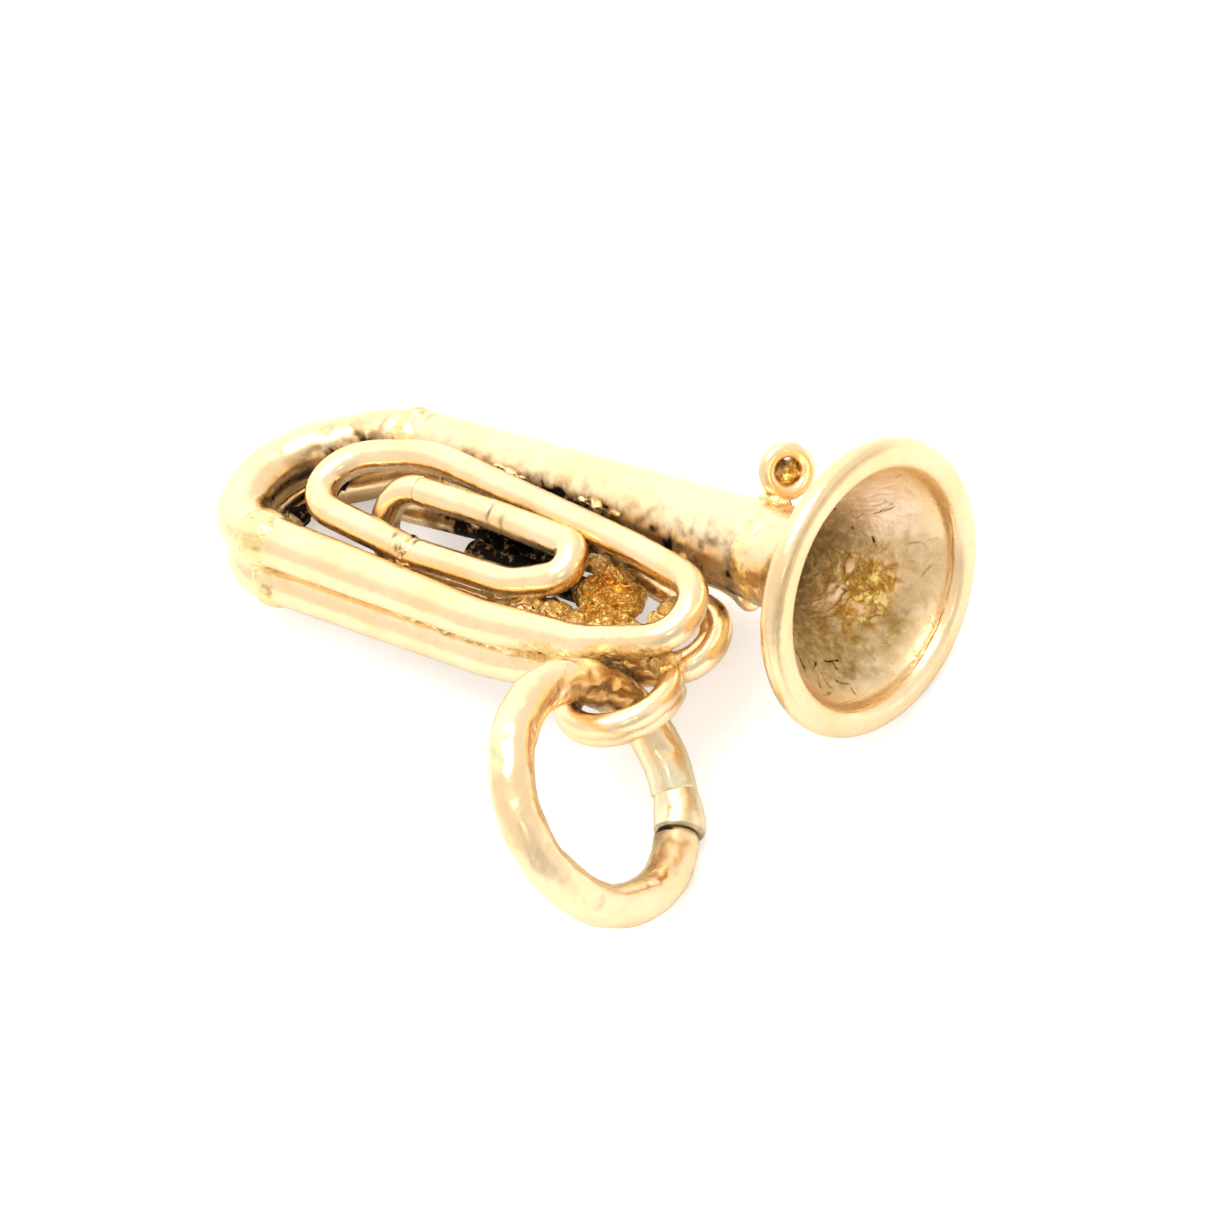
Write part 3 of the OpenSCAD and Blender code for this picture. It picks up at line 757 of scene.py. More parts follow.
def bell_detail(points, row, angle):
    x, y, z = points.T
    inside = row < len(bell_inner)
    deep = ease(0.0, -0.75, x)
    radial = np.stack([x * 0.35, y, z], 1)
    # Hammered inside: broad radial facets, then grain that is coarser down the throat
    facets = np.abs(noise(radial, 1.15, seed=31))
    hammered = (-0.035 * facets * ease(-0.15, -0.6, x)
                + 0.012 * fbm(points, 3.6, octaves=3, seed=33) * deep)
    hammered += 0.010 * deep * fbm(points, 9.0, octaves=2, seed=35, gain=0.6)
    spark = (near(points, (-1.25, 0.55, -1.30), radii=(0.75, 0.85, 0.6))
             + 0.7 * near(points, (-1.0, 0.9, -1.45), radii=(0.3, 0.35, 0.3)))
    folds = 0.25 - np.abs(noise(points, 4.2, seed=37))
    hammered += 0.045 * np.clip(spark, 0, 1) * folds * 2
    # Throat brown and darker with depth, partly its own colour and partly painted shade;
    # painted shade on one side; lighter, as painted light, where it sparkles and on the fair
    # side
    shady = 0.5 + 0.5 * np.cos(np.arctan2(z, y) - math.radians(235))
    fair = 1.3 * near(points, (-0.7, 2.0, 0.2), radii=(0.9, 0.9, 1.3))
    throat = (
        (0.26 + 0.30 * shady) * deep
        + 0.6 * ease(-0.75, -1.7, x)
        + 0.26 * deep * ease(-0.1, 0.5, fbm(radial, 1.4, octaves=3, seed=39))
        + 0.2 * ease(0.0, 0.5, fbm(points, 4.5, octaves=3, seed=41)) * deep
    )
    throat = np.minimum(throat, 0.7)
    throat = throat * (1 - 0.95 * np.clip(spark * 1.5, 0, 1)) * (1 - 0.7 * np.clip(fair, 0, 1))
    for *shape, depth in SCRATCHES:
        line = scratch_line(x, angle, *shape) * inside
        hammered -= 0.012 * depth * line
        throat += depth * 1.1 * line
    rise = (0.004 * noise(points, 0.8, seed=21)
            + 0.002 * fbm(points, 3.0, octaves=2, seed=22))
    rise = np.where(inside, rise + hammered, rise)
    grime_and_shade = np.where(inside, np.clip(throat, 0, 1), 0)
    roughness = np.where(inside, 0.65 * deep + 0.25, 0.05)
    # Crumpled metal where the throat sparkles, whose painted crest highlights stand in for the
    # glints
    glint = near(points, (-1.35, 0.25, -1.4), radii=(1.3, 1.4, 1.2))
    crumpled = (1.5 * spark * ease(-0.35, 0.3, fbm(points, 2.6, octaves=3, seed=49))
                + 0.9 * glint * ease(-0.2, 0.3, fbm(points, 2.4, octaves=3, seed=50)))
    crumpled = np.where(inside, np.clip(crumpled, 0, 1), 0)
    # Paler: painted light on the fair side, plus drifts of pale metal
    pale = 0.9 * fair + 0.2 * ease(0.0, 0.45, fbm(radial, 0.9, octaves=2, seed=43))
    pale = np.where(inside, np.clip(pale, 0, 1) * deep, 0.05)
    # Solder smear round the neck outside
    neck = ease(-1.7, -2.4, x) * (~inside)
    rise = rise + 0.01 * neck * fbm(points, 4.0, octaves=3, seed=45)
    grime_and_shade = grime_and_shade + neck * 0.35 * ease(0.05, 0.5, fbm(points, 3.0, octaves=3, seed=47))
    return rise, np.stack([grime_and_shade, roughness, pale, crumpled], 1)


def rim_detail(points, along, section):
    rise, paint = worn(seed=51, wobble=0.008)(points, along, section)
    x, y, z = points.T
    angle = np.arctan2(z, y)
    # A fine dark groove on the +X face, over part of the turn
    groove_radius = np.hypot(y, z) - 3.12 - 0.02 * np.sin(3 * angle)
    groove = (np.exp(-((groove_radius / 0.022) ** 2)) * (x > 0)
              * ease(0.2, 0.9, np.sin(angle - 0.4)))
    paint[:, 0] += 0.5 * groove
    return rise - 0.012 * groove, paint


bell = lathe(np.concatenate([bell_inner, bell_outer]), 380, bell_detail)
make("bell_flare", "bell", *bell, BELL_GOLD)
wire("bell_rim", "bell_rim_wire", turn("y", 90), circle_path(2.91, 0, 360, step=0.05),
     radius=0.33, segments=56, detail=rim_detail, material=BELL_GOLD, closed=True)
seam("bell_seam", "bell_seam_solder", shift(NECK_X, 0, 0), tube_radius=1.085,
     half_length=0.34, height=0.03, seed=61, segments=240, section_segments=48,
     lump=0.3, ragged=0.3, freq=1.4)

# ------------------------------------------------------------------ stem and left bow

STEM_NECK_RADIUS = 1.08
BOW_RADIUS = 0.58
BEND_X = -12.22  # end of the stem's taper
BOW_JOINT = (-12.7227, -0.0573)
# Paths here and below are [x, y, bend radius]
STEM_BEND = [[BEND_X, 0, 0], [-12.4746, 0, 2.235], [*BOW_JOINT, 0]]
LEFT_BOW = [[*BOW_JOINT, 0], [-13.1856, -0.1641, 2.235], [-15.275, -1.74, 1.786],
            [-14.92, -3.963, 1.106], [-13.96, -3.955, 0]]
# Marks here and below are (centre, radii, rise, grime)
STEM_MARKS = [
    ((-11.9, -0.05, 0.58), (0.22, 0.14, 0.2), 0.012, 0.1),
    ((-12.3, 0.2, 0.5), (0.12, 0.2, 0.2), -0.02, 0.3),
    ((-2.95, -0.75, 0.75), (0.15, 0.3, 0.3), -0.012, 0.3),
    ((-3.3, 0.3, 0.95), (0.5, 0.3, 0.2), 0.008, 0.0),
    ((-6.9, -0.55, 0.75), (0.4, 0.2, 0.2), -0.010, 0.1),
    ((-5.3, -0.75, 0.45), (0.7, 0.2, 0.3), -0.012, 0.1),
]
LEFT_MARKS = [
    ((-12.86, -0.02, 0.62), (0.05, 0.3, 0.2), -0.03, 0.7),
    ((-13.08, -0.1, 0.6), (0.05, 0.25, 0.2), 0.025, 0.0),
    ((-13.2, -0.2, 0.62), (0.04, 0.25, 0.2), -0.02, 0.5),
    ((-14.05, -3.7, 1.2), (0.05, 0.3, 0.3), -0.02, 0.3),
]


def under(points):
    """1 on the stem's side towards the coils (-Y and -Z), -1 on the far side."""
    _, y, z = points.T
    return -(0.8 * y + 0.6 * z) / (np.hypot(y, z) + 1e-9)


def stem_rough(points):
    low = (0.55 * ease(-0.35, 0.25, under(points))
           * ease(-0.2, 0.35, fbm(points, 1.6, octaves=3, seed=71))
           * ease(-11.5, -9.0, points[:, 0]))
    ends = (0.8 * near(points, (-12.5, 0.1, 0.3), radii=(0.3, 0.9, 0.9)),
            0.7 * near(points, (-2.9, -0.4, 0.2), radii=(0.5, 1.2, 1.2)))
    return np.clip(low + ends[0] + ends[1], 0, 1)


# Painted shade on the stem's side towards the coils, in patches, heaviest between x -9.3 and -7
# and fading out before the bend
def stem_underside_shade(points, _angle):
    x = points[:, 0]
    low = ease(-0.75, -0.05, under(points) + 0.25 * fbm(points, 1.6, octaves=3, seed=77))
    deep = ease(-0.28, 0.1, under(points) + 0.2 * fbm(points, 1.6, octaves=3, seed=78))
    darkest = ease(-10.2, -9.3, x) * ease(-6.2, -7.0, x)
    thin_shade = 0.5 * low * ease(-0.25, 0.35, fbm(points, 3.4, octaves=4, seed=73))
    deep_shade = deep * (0.35 + 0.55 * darkest) * (0.8 + 0.4 * fbm(points, 3.0, octaves=3, seed=75))
    return np.clip((thin_shade + deep_shade) * ease(-12.2, -10.8, x), 0, 1)


def left_rough(points):
    x, y, _ = points.T
    patches = (0.35 * ease(-2.6, -0.4, y) * ease(-15.4, -14.0, x)
               * ease(0.1, 0.5, fbm(points, 1.8, octaves=2, seed=83)))
    return np.clip(0.9 * near(points, (-12.95, -0.1, 0.4), radii=(0.45, 0.8, 0.8)) + patches
                   + 0.55 * near(points, (-14.1, -3.95, 1.0), radii=(0.35, 0.6, 0.6)), 0, 1)


def left_inner_darkening(points, _angle):
    """Brown, in patches, on the inner side of the bend."""
    x, y, _ = points.T
    inner_side = ease(1.55, 0.9, np.hypot(x + 13.3, (y + 2.0) * 0.8))
    return 0.85 * inner_side * ease(-0.45, 0.2, fbm(points, 2.6, octaves=3, seed=85))


def stem():
    """The straight cone and the start of the tilted bend, as one open pipe."""
    bend, _ = sample(STEM_BEND, BOW_RADIUS, soft=0.08, soft_width=0.2)
    x = np.arange(NECK_X, -12.2, -0.05)
    straight = np.stack([x, 0 * x, 0 * x], 1)
    line = np.concatenate([straight, lift(TILT, bend)[1:]])
    taper = [-NECK_X, -BEND_X]
    outer = np.interp(-line[:, 0], taper, [STEM_NECK_RADIUS, BOW_RADIUS])
    bore = np.interp(-line[:, 0], taper, [NECK_BORE, 0.41])
    surface = worn(seed=70, wobble=0.008, marks=STEM_MARKS, rough=stem_rough, dirt_and_shade=stem_underside_shade)
    shape = hollow(line, AXES["z"], outer, bore, 88, surface)
    make("stem_tube", "bell_stem", *shape, WORN_GOLD)


def left_bow():
    path, radii = sample(LEFT_BOW, BOW_RADIUS)
    wall = 0.17
    surface = worn(seed=80, wobble=0.010, mid=0.004, fine=0.0012, marks=LEFT_MARKS,
                   rough=left_rough, dirt_and_shade=left_inner_darkening)
    shape = hollow(lift(TILT, path), TILT[:3, 2], radii, radii - wall, 80, surface)
    make("left_bow_tube", "left_bow", *shape, WORN_GOLD)


stem()
left_bow()
seam("back_seam", "back_seam_solder", TILT @ shift(*BOW_JOINT, 0) @ turn("z", 13),
     tube_radius=0.580, half_length=0.30, height=0.065, seed=91, segments=170,
     section_segments=48, lump=0.6, ragged=0.5)

# ------------------------------------------------------------------ coils

INNER_JOINT = (-10.25, -3.04)  # where the upper coil meets the inner one
LEFT_X = -13.96  # left ends of the coils, where the bows meet them

UPPER = [
    [LEFT_X, -3.86, 0], [-7.54, -4.03, 6], [-4.91, -3.75, 1.5], [-2.55, -2.88, 0.855],
    [-3.27, -1.58, 0.893], [-5.18, -1.28, 2], [-11.43, -0.74, 2.9], [-13.0, -1.33, 1.3],
    [-13.99, -2.66, 0.7], [*INNER_JOINT, 0],
]
UPPER_RADII = [0.56, 0.45, 0.37, 0.345, 0.34, 0.33, 0.33, 0.345, 0.34, 0.33]
UPPER_MARKS = [
    ((-13.62, -3.75, 1.3), (0.05, 0.25, 0.3), -0.022, 0.3),
    ((-13.45, -3.95, 1.25), (0.04, 0.25, 0.3), -0.015, 0.2),
    ((-10.62, -2.95, 1.12), (0.07, 0.12, 0.12), -0.03, 0.7),
    ((-10.42, -3.2, 1.05), (0.06, 0.08, 0.1), -0.04, 0.95),
    ((-8.3, -1.35, 1.0), (0.5, 0.12, 0.12), -0.012, 0.4),
]
INNER = [[*INNER_JOINT, 0], [-7.45, -2.985, 1.6], [-6.28, -2.48, 0.42], [-6.42, -1.74, 0.4],
         [-8.8, -1.66, 3], [-10.9, -1.69, 0]]
INNER_RADII = [0.32, 0.325, 0.36, 0.36, 0.33, 0.32]
INNER_PLACE = (shift(0, INNER_JOINT[1], UPPER_Z) @ turn("x", 4.8)
               @ shift(0, -INNER_JOINT[1], 0))
INNER_MARKS = [
    ((-8.75, -1.75, 1.15), (0.05, 0.2, 0.2), -0.05, 1.0),
    ((-8.35, -1.85, 1.05), (0.07, 0.12, 0.2), -0.04, 1.0),
    ((-7.6, -1.62, 1.15), (0.06, 0.1, 0.1), -0.03, 0.8),
    ((-10.05, -2.9, 1.12), (0.05, 0.14, 0.1), -0.03, 0.9),
]
LOWER_INNER = [[-10.9, -2.95, 0], [-5.62, -2.93, 0.4], [-5.62, -2.05, 0.4], [-9.85, -2.06, 0]]
LOWER = [[LEFT_X, -4.1, 0], [-7.54, -4.15, 6], [-4.91, -3.62, 1.5], [-2.55, -2.75, 0.8],
         [-3.2, -1.62, 0.7], [-5.6, -1.26, 3], [-8.2, -1.23, 6], [-12.2, -1.53, 0]]
LOWER_RADII = [0.54, 0.5, 0.4, 0.36, 0.345, 0.33, 0.33, 0.33]
LOWER_BOW = [[-12.3, 0, 0], [-13.1, 0, 2.2], [-15.5, -1.8, 1.75], [-15.1, -4.18, 1.1],
             [LEFT_X, -4.19, 0]]


def upper_rough(points):
    patches = [
        (0.8, (-13.75, -3.86, 1.2), (0.4, 0.6, 0.5)),
        (0.7, (-5.3, -4.0, 0.62), (0.9, 0.3, 0.3)),
        (0.8, (-10.5, -3.04, 0.95), (0.45, 0.4, 0.4)),
        (0.4, (-8.0, -1.1, 0.9), (1.6, 0.4, 0.4)),
    ]
    return np.clip(sum(share * near(points, *patch) for share, *patch in patches), 0, 1)


def upper_foil(points):
    """Granular solder flooded over the tube's -Y side, above the bail."""
    x, y, z = points.T
    axis_y = np.interp(x, [-7.54, -4.91, -2.55], [-4.0, -3.73, -2.9])
    angle = np.degrees(np.arctan2(z - UPPER_Z, axis_y - y)) + 16 * noise(points, 3.0, seed=107)
    ragged_x = x + 0.3 * noise(points, 2.2, seed=108)
    return (ease(34, 12, angle) * ease(-100, -60, angle) * (y < axis_y)
            * ease(-6.7, -6.0, ragged_x) * ease(-2.7, -3.3, ragged_x))


def upper_crease_shade(points, _angle):
    """Painted shade in the crease against the stem."""
    x, y, z = points.T
    axis_y = -1.28 + (-5.18 - x) * 0.0864
    side = ease(0.0, 0.26, y - axis_y) * ease(1.16, 0.9, z)
    window = ease(-10.6, -9.5, x) * ease(-5.6, -6.6, x)
    return side * window * (0.75 + 0.5 * fbm(points, 3.4, octaves=3, seed=105))


def inner_rough(points):
    return np.clip(0.8 * near(points, (-10.2, -3.0, 0.9), radii=(0.5, 0.5, 0.5))
                   + 0.6 * near(points, (-8.4, -1.75, 1.0), radii=(0.8, 0.3, 0.3)), 0, 1)


def inner_loop_soot_and_shade(points, _angle):
    """Soot and painted shade on the inside of the small loop."""
    x, y, z = points.T
    hole = ease(0.66, 0.42, np.abs(y + 2.35)) * ease(-10.9, -10.0, x) * ease(-6.2, -6.7, x)
    return hole * ease(1.12, 0.8, z) * (0.9 + 0.25 * fbm(points, 3.5, octaves=3, seed=121))


# Painted shade, in patches, on the lower inner coil's back run under the small loop
def lower_inner_shade(points, _angle):
    x, y, _ = points.T
    patches = ease(-0.2, 0.05, fbm(points, 1.5, octaves=2, seed=143) + 0.35)
    return ease(-2.9, -2.6, y) * ease(-5.6, -6.6, x) * patches


# Painted shade, in patches, on the lower coil's back run under the stem
def lower_coil_shade(points, _angle):
    x, y, _ = points.T
    return (ease(-2.2, -1.9, y) * ease(-5.6, -6.6, x) * ease(-12.2, -10.4, x)
            * ease(-0.5, -0.1, fbm(points, 1.5, octaves=2, seed=153)))


wire("upper_coil_wire", "upper_coil", shift(0, 0, UPPER_Z),
     *sample(UPPER, UPPER_RADII, step=0.036), segments=84,
     detail=worn(seed=100, wobble=0.008, marks=UPPER_MARKS, rough=upper_rough,
                 dirt_and_shade=upper_crease_shade, foil=upper_foil))
seam("front_seam", "front_seam_solder", shift(-13.86, -3.86, UPPER_Z), tube_radius=0.568,
     half_length=0.46, height=0.068, seed=111, segments=200, section_segments=56, lump=0.55)
wire("inner_coil_wire", "inner_coil", INNER_PLACE,
     *sample(INNER, INNER_RADII, soft=0.12, soft_width=0.2), segments=60,
     detail=worn(seed=120, marks=INNER_MARKS, rough=inner_rough, dirt_and_shade=inner_loop_soot_and_shade))
wire("crossover_wire", "crossover_bend",
     shift(-10.9, -2.322, 0.292) @ turn("x", 44.4) @ turn("z", 90),
     circle_path(0.898, 0, 180), radius=0.32, segments=60, detail=worn(seed=130))
wire("lower_inner_wire", "lower_inner_coil", shift(0, 0, LOWER_Z),
     *sample(LOWER_INNER, 0.3, soft=0.1, soft_width=0.2), segments=56,
     detail=worn(seed=140, dirt_and_shade=lower_inner_shade))
wire("lower_coil_wire", "lower_coil", shift(0, 0, LOWER_Z),
     *sample(LOWER, LOWER_RADII, step=0.05), segments=64,
     detail=worn(seed=150, wobble=0.008, mid=0.004, dirt_and_shade=lower_coil_shade))
wire("lower_bow_tube", "lower_left_bow", shift(0, 0, LEAD_Z) @ TILT,
     *sample(LOWER_BOW, 0.54, step=0.05), segments=64,
     detail=worn(seed=160, wobble=0.008, mid=0.004))
seam("lower_seam", "lower_seam_solder", shift(-13.9, -4.1, LOWER_Z), tube_radius=0.557,
     half_length=0.36, height=0.06, seed=171, segments=160, section_segments=48, freq=2.2)

# ------------------------------------------------------------------ lead pipe and mouthpiece

LEAD_LENGTH, LEAD_STATIONS = 6.9, 150
LEAD_PLACE = shift(-12.3, 0, LEAD_Z) @ turn("y", 4.6)
# [radius, x] from the pipe's end: outside, lip and cup, bore
CUP_OUTSIDE = [[0.3, 0.0], [0.3, 0.5], [0.36, 0.85], [0.46, 1.1], [0.5, 1.25]]
CUP_LIP = [[0.5, 1.25], [0.487, 1.31], [0.44, 1.33], [0.36, 1.27], [0.3, 1.2], [0.2, 1.04],
           [0.12, 0.9], [0.09, 0.86]]
CUP_BORE = [[0.09, 0.86], [0.09, 0.4], [0.09, 0.0]]

lead_path = np.stack([np.linspace(0, LEAD_LENGTH, LEAD_STATIONS), np.zeros(LEAD_STATIONS)], 1)
wire("lead_pipe_wire", "lead_pipe", LEAD_PLACE, lead_path,
     radius=np.linspace(0.46, 0.3, LEAD_STATIONS), segments=56, detail=worn(seed=180))

cup_profile = np.concatenate([curve(CUP_OUTSIDE, 40)[:-1], curve(CUP_LIP, 40)[:-1],
                              curve(CUP_BORE, 10)])
cup, cup_faces, cup_paint = lathe(cup_profile, 72, worn(seed=190, wobble=0.004, mid=0.002))
make("mouthpiece_cup", "mouthpiece", move(LEAD_PLACE @ shift(LEAD_LENGTH, 0, 0), cup),
     cup_faces, cup_paint, WORN_GOLD)

# ------------------------------------------------------------------ solder lumps
# Each ball is (centre, radius or radii, turn about Z)

CORD_CENTRE = (-3.042, 1.592, 0.745)
CORD_AXIS = (0.866, -0.212, 0.453)

INNER_SEAM_BALLS = [
    ((-10.28, -3.04, 0.84), (0.17, 0.345, 0.345)), ((-10.12, -3.08, 0.95), (0.14, 0.2, 0.2)),
    ((-10.45, -3.0, 1.02), (0.12, 0.16, 0.15)), ((-10.3, -3.3, 0.70), 0.17),
    ((-10.42, -3.28, 0.8), 0.1), ((-10.12, -3.3, 0.78), 0.1),
    ((-10.55, -3.1, 0.98), (0.12, 0.2, 0.16)), ((-9.95, -3.02, 1.0), (0.12, 0.2, 0.14)),
]
TACKS = [
    ((-11.6, -4.02, 0.25), (0.34, 0.17, 0.18)), ((-7.2, -1.18, 0.24), (0.4, 0.22, 0.24)),
    ((-9.4, -0.9, 0.25), (0.36, 0.2, 0.22)), ((-7.0, -0.55, 0.62), (0.42, 0.14, 0.2), -5),
    ((-6.35, -0.6, 0.6), (0.2, 0.1, 0.12)), ((-9.6, -0.42, 0.5), (0.4, 0.14, 0.18), -4),
    ((-9.05, -0.45, 0.52), (0.2, 0.1, 0.12)), ((-8.2, -2.9, 0.24), (0.36, 0.22, 0.24)),
    ((-4.6, -1.2, 0.24), (0.36, 0.22, 0.24)), ((-5.0, -1.3, 0.3), (0.24, 0.16, 0.18)),
    ((-7.1, -3.35, 0.38), (0.5, 0.12, 0.16)), ((-6.0, -3.45, 0.3), (0.5, 0.14, 0.18)),
    # Below, a long lump under the small loop, painted near black in tack_zones: soot and
    # painted shade
    ((-8.6, -1.66, -0.34), (1.3, 0.14, 0.16)),
]
# A line between the outer turns of the coils: x, y, turn
LINE_STATIONS = [
    (-10.0, -4.06, 0), (-9.4, -4.08, 0), (-8.8, -4.09, 0), (-8.2, -4.1, 0), (-7.6, -4.1, 2),
    (-7.0, -4.09, 4), (-6.4, -4.05, 6), (-5.8, -3.99, 7), (-5.2, -3.88, 12),
    (-4.7, -3.74, 18), (-4.2, -3.56, 20), (-3.7, -3.38, 20), (-3.3, -3.2, 22),
]
LINE = [((x, y, 0.235), (0.42, 0.17, 0.17), angle) for x, y, angle in LINE_STATIONS]
# Lumps in the crevice and the recess at the left, painted dark in tack_zones: soot and painted
# shade
CREVICE = [((x, -3.36, 0.24), (0.45, 0.17, 0.22)) for x in (-13.2, -12.6, -12.0, -11.4, -10.8)]
LEFT_RECESS = [
    ((-14.02, -2.05, -0.12), (0.26, 0.5, 0.3)), ((-14.15, -2.85, -0.02), (0.24, 0.42, 0.3)),
    ((-13.8, -3.3, 0.1), (0.4, 0.2, 0.26)), ((-13.95, -1.5, -0.15), 0.25),
]
# Webs that fill the coils' opening at the +X end
WEB = [
    ((-5.95, -2.25, 0.05), (0.5, 0.42, 0.42)), ((-5.5, -2.75, 0.12), (0.55, 0.36, 0.4), 10),
    ((-5.25, -2.1, 0.02), (0.42, 0.42, 0.42)), ((-5.0, -2.75, 0.05), (0.42, 0.34, 0.38)),
    ((-5.75, -1.75, 0.12), (0.42, 0.28, 0.4)), ((-6.3, -1.62, 0.2), (0.4, 0.26, 0.32)),
    ((-3.94, -2.08, 0.02), (0.32, 0.32, 0.42)), ((-3.9, -2.5, 0.1), (0.36, 0.34, 0.4)),
    ((-4.4, -2.85, 0.12), (0.45, 0.26, 0.36), 15),
]
WEB_EDGE = [((x, y, 0.20), (0.48, 0.36, 0.38)) for x, y in (
    (-7.98, -2.93), (-7.22, -3.00), (-6.46, -3.07), (-5.70, -3.15), (-5.00, -3.13))]
CORD_BALLS = [
    ((-3.05, 0.97, 0.45), (0.24, 0.22, 0.22)), ((-3.28, 0.95, 0.5), 0.16),
    ((-2.82, 0.98, 0.42), 0.16), ((-3.15, 1.05, 0.36), (0.2, 0.15, 0.15)),
    ((-3.14, 1.28, 0.52), (0.16, 0.2, 0.2)), ((-3.04, 1.68, 0.58), 0.17),
    ((-3.10, 1.50, 0.55), 0.17), ((-3.10, 1.80, 0.68), 0.15), ((-3.31, 1.68, 0.81), 0.15),
    ((-3.2, 1.62, 0.68), 0.17), ((-3.28, 1.48, 0.74), 0.15),
]
BAIL_BALLS = [
    ((-4.95, -3.98, 0.22), (0.27, 0.18, 0.22)), ((-4.62, -3.88, 0.34), (0.2, 0.10, 0.14)),
    ((-4.25, -3.62, 0.28), (0.2, 0.15, 0.17)), ((-3.05, -3.42, 0.22), (0.24, 0.22, 0.2)),
    ((-5.5, -3.98, 0.3), (0.24, 0.16, 0.16)), ((-5.2, -4.04, 0.42), (0.24, 0.1, 0.12)),
    ((-5.85, -4.08, 0.36), (0.26, 0.13, 0.14)), ((-6.4, -4.13, 0.34), (0.3, 0.12, 0.13)),
    ((-5.45, -4.05, 0.40), (0.5, 0.14, 0.15)), ((-4.75, -3.78, 0.40), (0.5, 0.13, 0.16), 12),
    ((-6.9, -4.17, 0.3), (0.2, 0.08, 0.08)), ((-6.1, -4.19, 0.5), (0.5, 0.13, 0.2), 3),
    ((-5.5, -4.1, 0.5), (0.45, 0.13, 0.2), 8), ((-4.95, -3.88, 0.5), (0.45, 0.09, 0.2), 14),
    ((-4.35, -3.66, 0.46), (0.42, 0.11, 0.18), 20),
    ((-3.8, -3.42, 0.44), (0.36, 0.13, 0.18), 24),
    ((-3.7, -3.38, 0.24), (0.42, 0.17, 0.26), 20),
    ((-3.25, -3.28, 0.22), (0.38, 0.25, 0.3), 25),
]


def tack_zones(points, paint):
    """Crumpled web at the +X end; near black in the recess at the left and inside the small
    loop, soot and painted shade.
    """
    x, y, z = points.T
    web = near(points, (-5.5, -2.4, 0.1), radii=(1.9, 1.0, 2.0)) * (x > -8.4) * (z < 0.75)
    recess = ease(-10.2, -10.9, x) * (y > -3.7) * (y < -1.0)
    loop = ease(-6.2, -6.8, x) * (y > -2.85) * (y < -1.5)
    darkest = recess * (0.62 + 0.5 * fbm(points, 3.0, octaves=3, seed=217))
    grime_and_shade = np.maximum(np.clip(np.maximum(paint[:, 0], darkest), 0, 1), loop)
    paint[:, 0] = np.where(web > 0.35, grime_and_shade * 0.2, grime_and_shade)
    paint[:, 2] = np.where(web > 0.2, 0, paint[:, 2])
    paint[:, 3] = np.clip(1.25 * web, 0, 1)


def cord_zones(points, paint):
    """In the cord ring's eye: crumpled at the camera's lower right, painted shade at its upper
    left.
    """
    offset = points - (np.array(CORD_CENTRE) - 0.16 * np.array(CORD_AXIS))
    right, up = offset @ np.array(CAMERA_RIGHT), offset @ np.array(CAMERA_UP)
    eye = np.hypot(right, up) < 0.36
    paint[:, 3] = np.clip(paint[:, 3] + eye * ease(-0.12, 0.12, right - up), 0, 1)
    paint[:, 0] = np.where(eye, 0.72 * ease(0.12, -0.1, right - up), paint[:, 0])


def bail_zones(points, paint):
    paint[:, 3] = 0.75 * ease(-0.3, 0.3, fbm(points, 2.0, octaves=2, seed=237))


lumps("inner_seam", "inner_seam_solder", INNER_SEAM_BALLS, seed=201, rough=0.05, freq=4.5,
      grime_and_shade=1.0)
lumps("tack_solder", "coil_tack_solder",
      TACKS + LINE + CREVICE + LEFT_RECESS + WEB + WEB_EDGE, seed=211, rough=0.05, freq=3.0,
      grime_and_shade=0.5, smooth=22, voxel=0.026, ridge=0.17, zones=tack_zones)
lumps("cord_solder", "cord_ring_solder", CORD_BALLS, seed=221, rough=0.03, freq=5.0,
      grime_and_shade=0.6, smooth=9, zones=cord_zones)
lumps("bail_joint", "bail_solder", BAIL_BALLS, seed=231, rough=0.04, freq=6.0, grime_and_shade=0.05,
      smooth=8, ridge=0.06, zones=bail_zones)

# ------------------------------------------------------------------ rings

BAIL_RADIUS, BAIL_WIRE, BAIL_START = 1.17, 0.27, -195
BAIL_LEAN = turn("y", -4.715) @ turn("x", -13.28)
RING_PLACE = shift(-2.998, -6.480, -0.096) @ turn("y", 67.745) @ turn("x", -21.541)


def bail_inner_darkening(points, angle):
    """Darker patches on the inner side of the ring."""
    patches = ease(-0.45, 0.2, fbm(points, 2.6, octaves=3, seed=253))
    return 0.75 * ease(0.35, 0.95, np.cos(angle)) * patches


def bail(name, part, centre, sweep, seed, material):
    wire(name, part, shift(*centre) @ BAIL_LEAN, circle_path(BAIL_RADIUS, BAIL_START, sweep),
         radius=BAIL_WIRE, segments=52, material=material,
         detail=worn(seed, wobble=0.010, mid=0.005, dirt_and_shade=bail_inner_darkening))


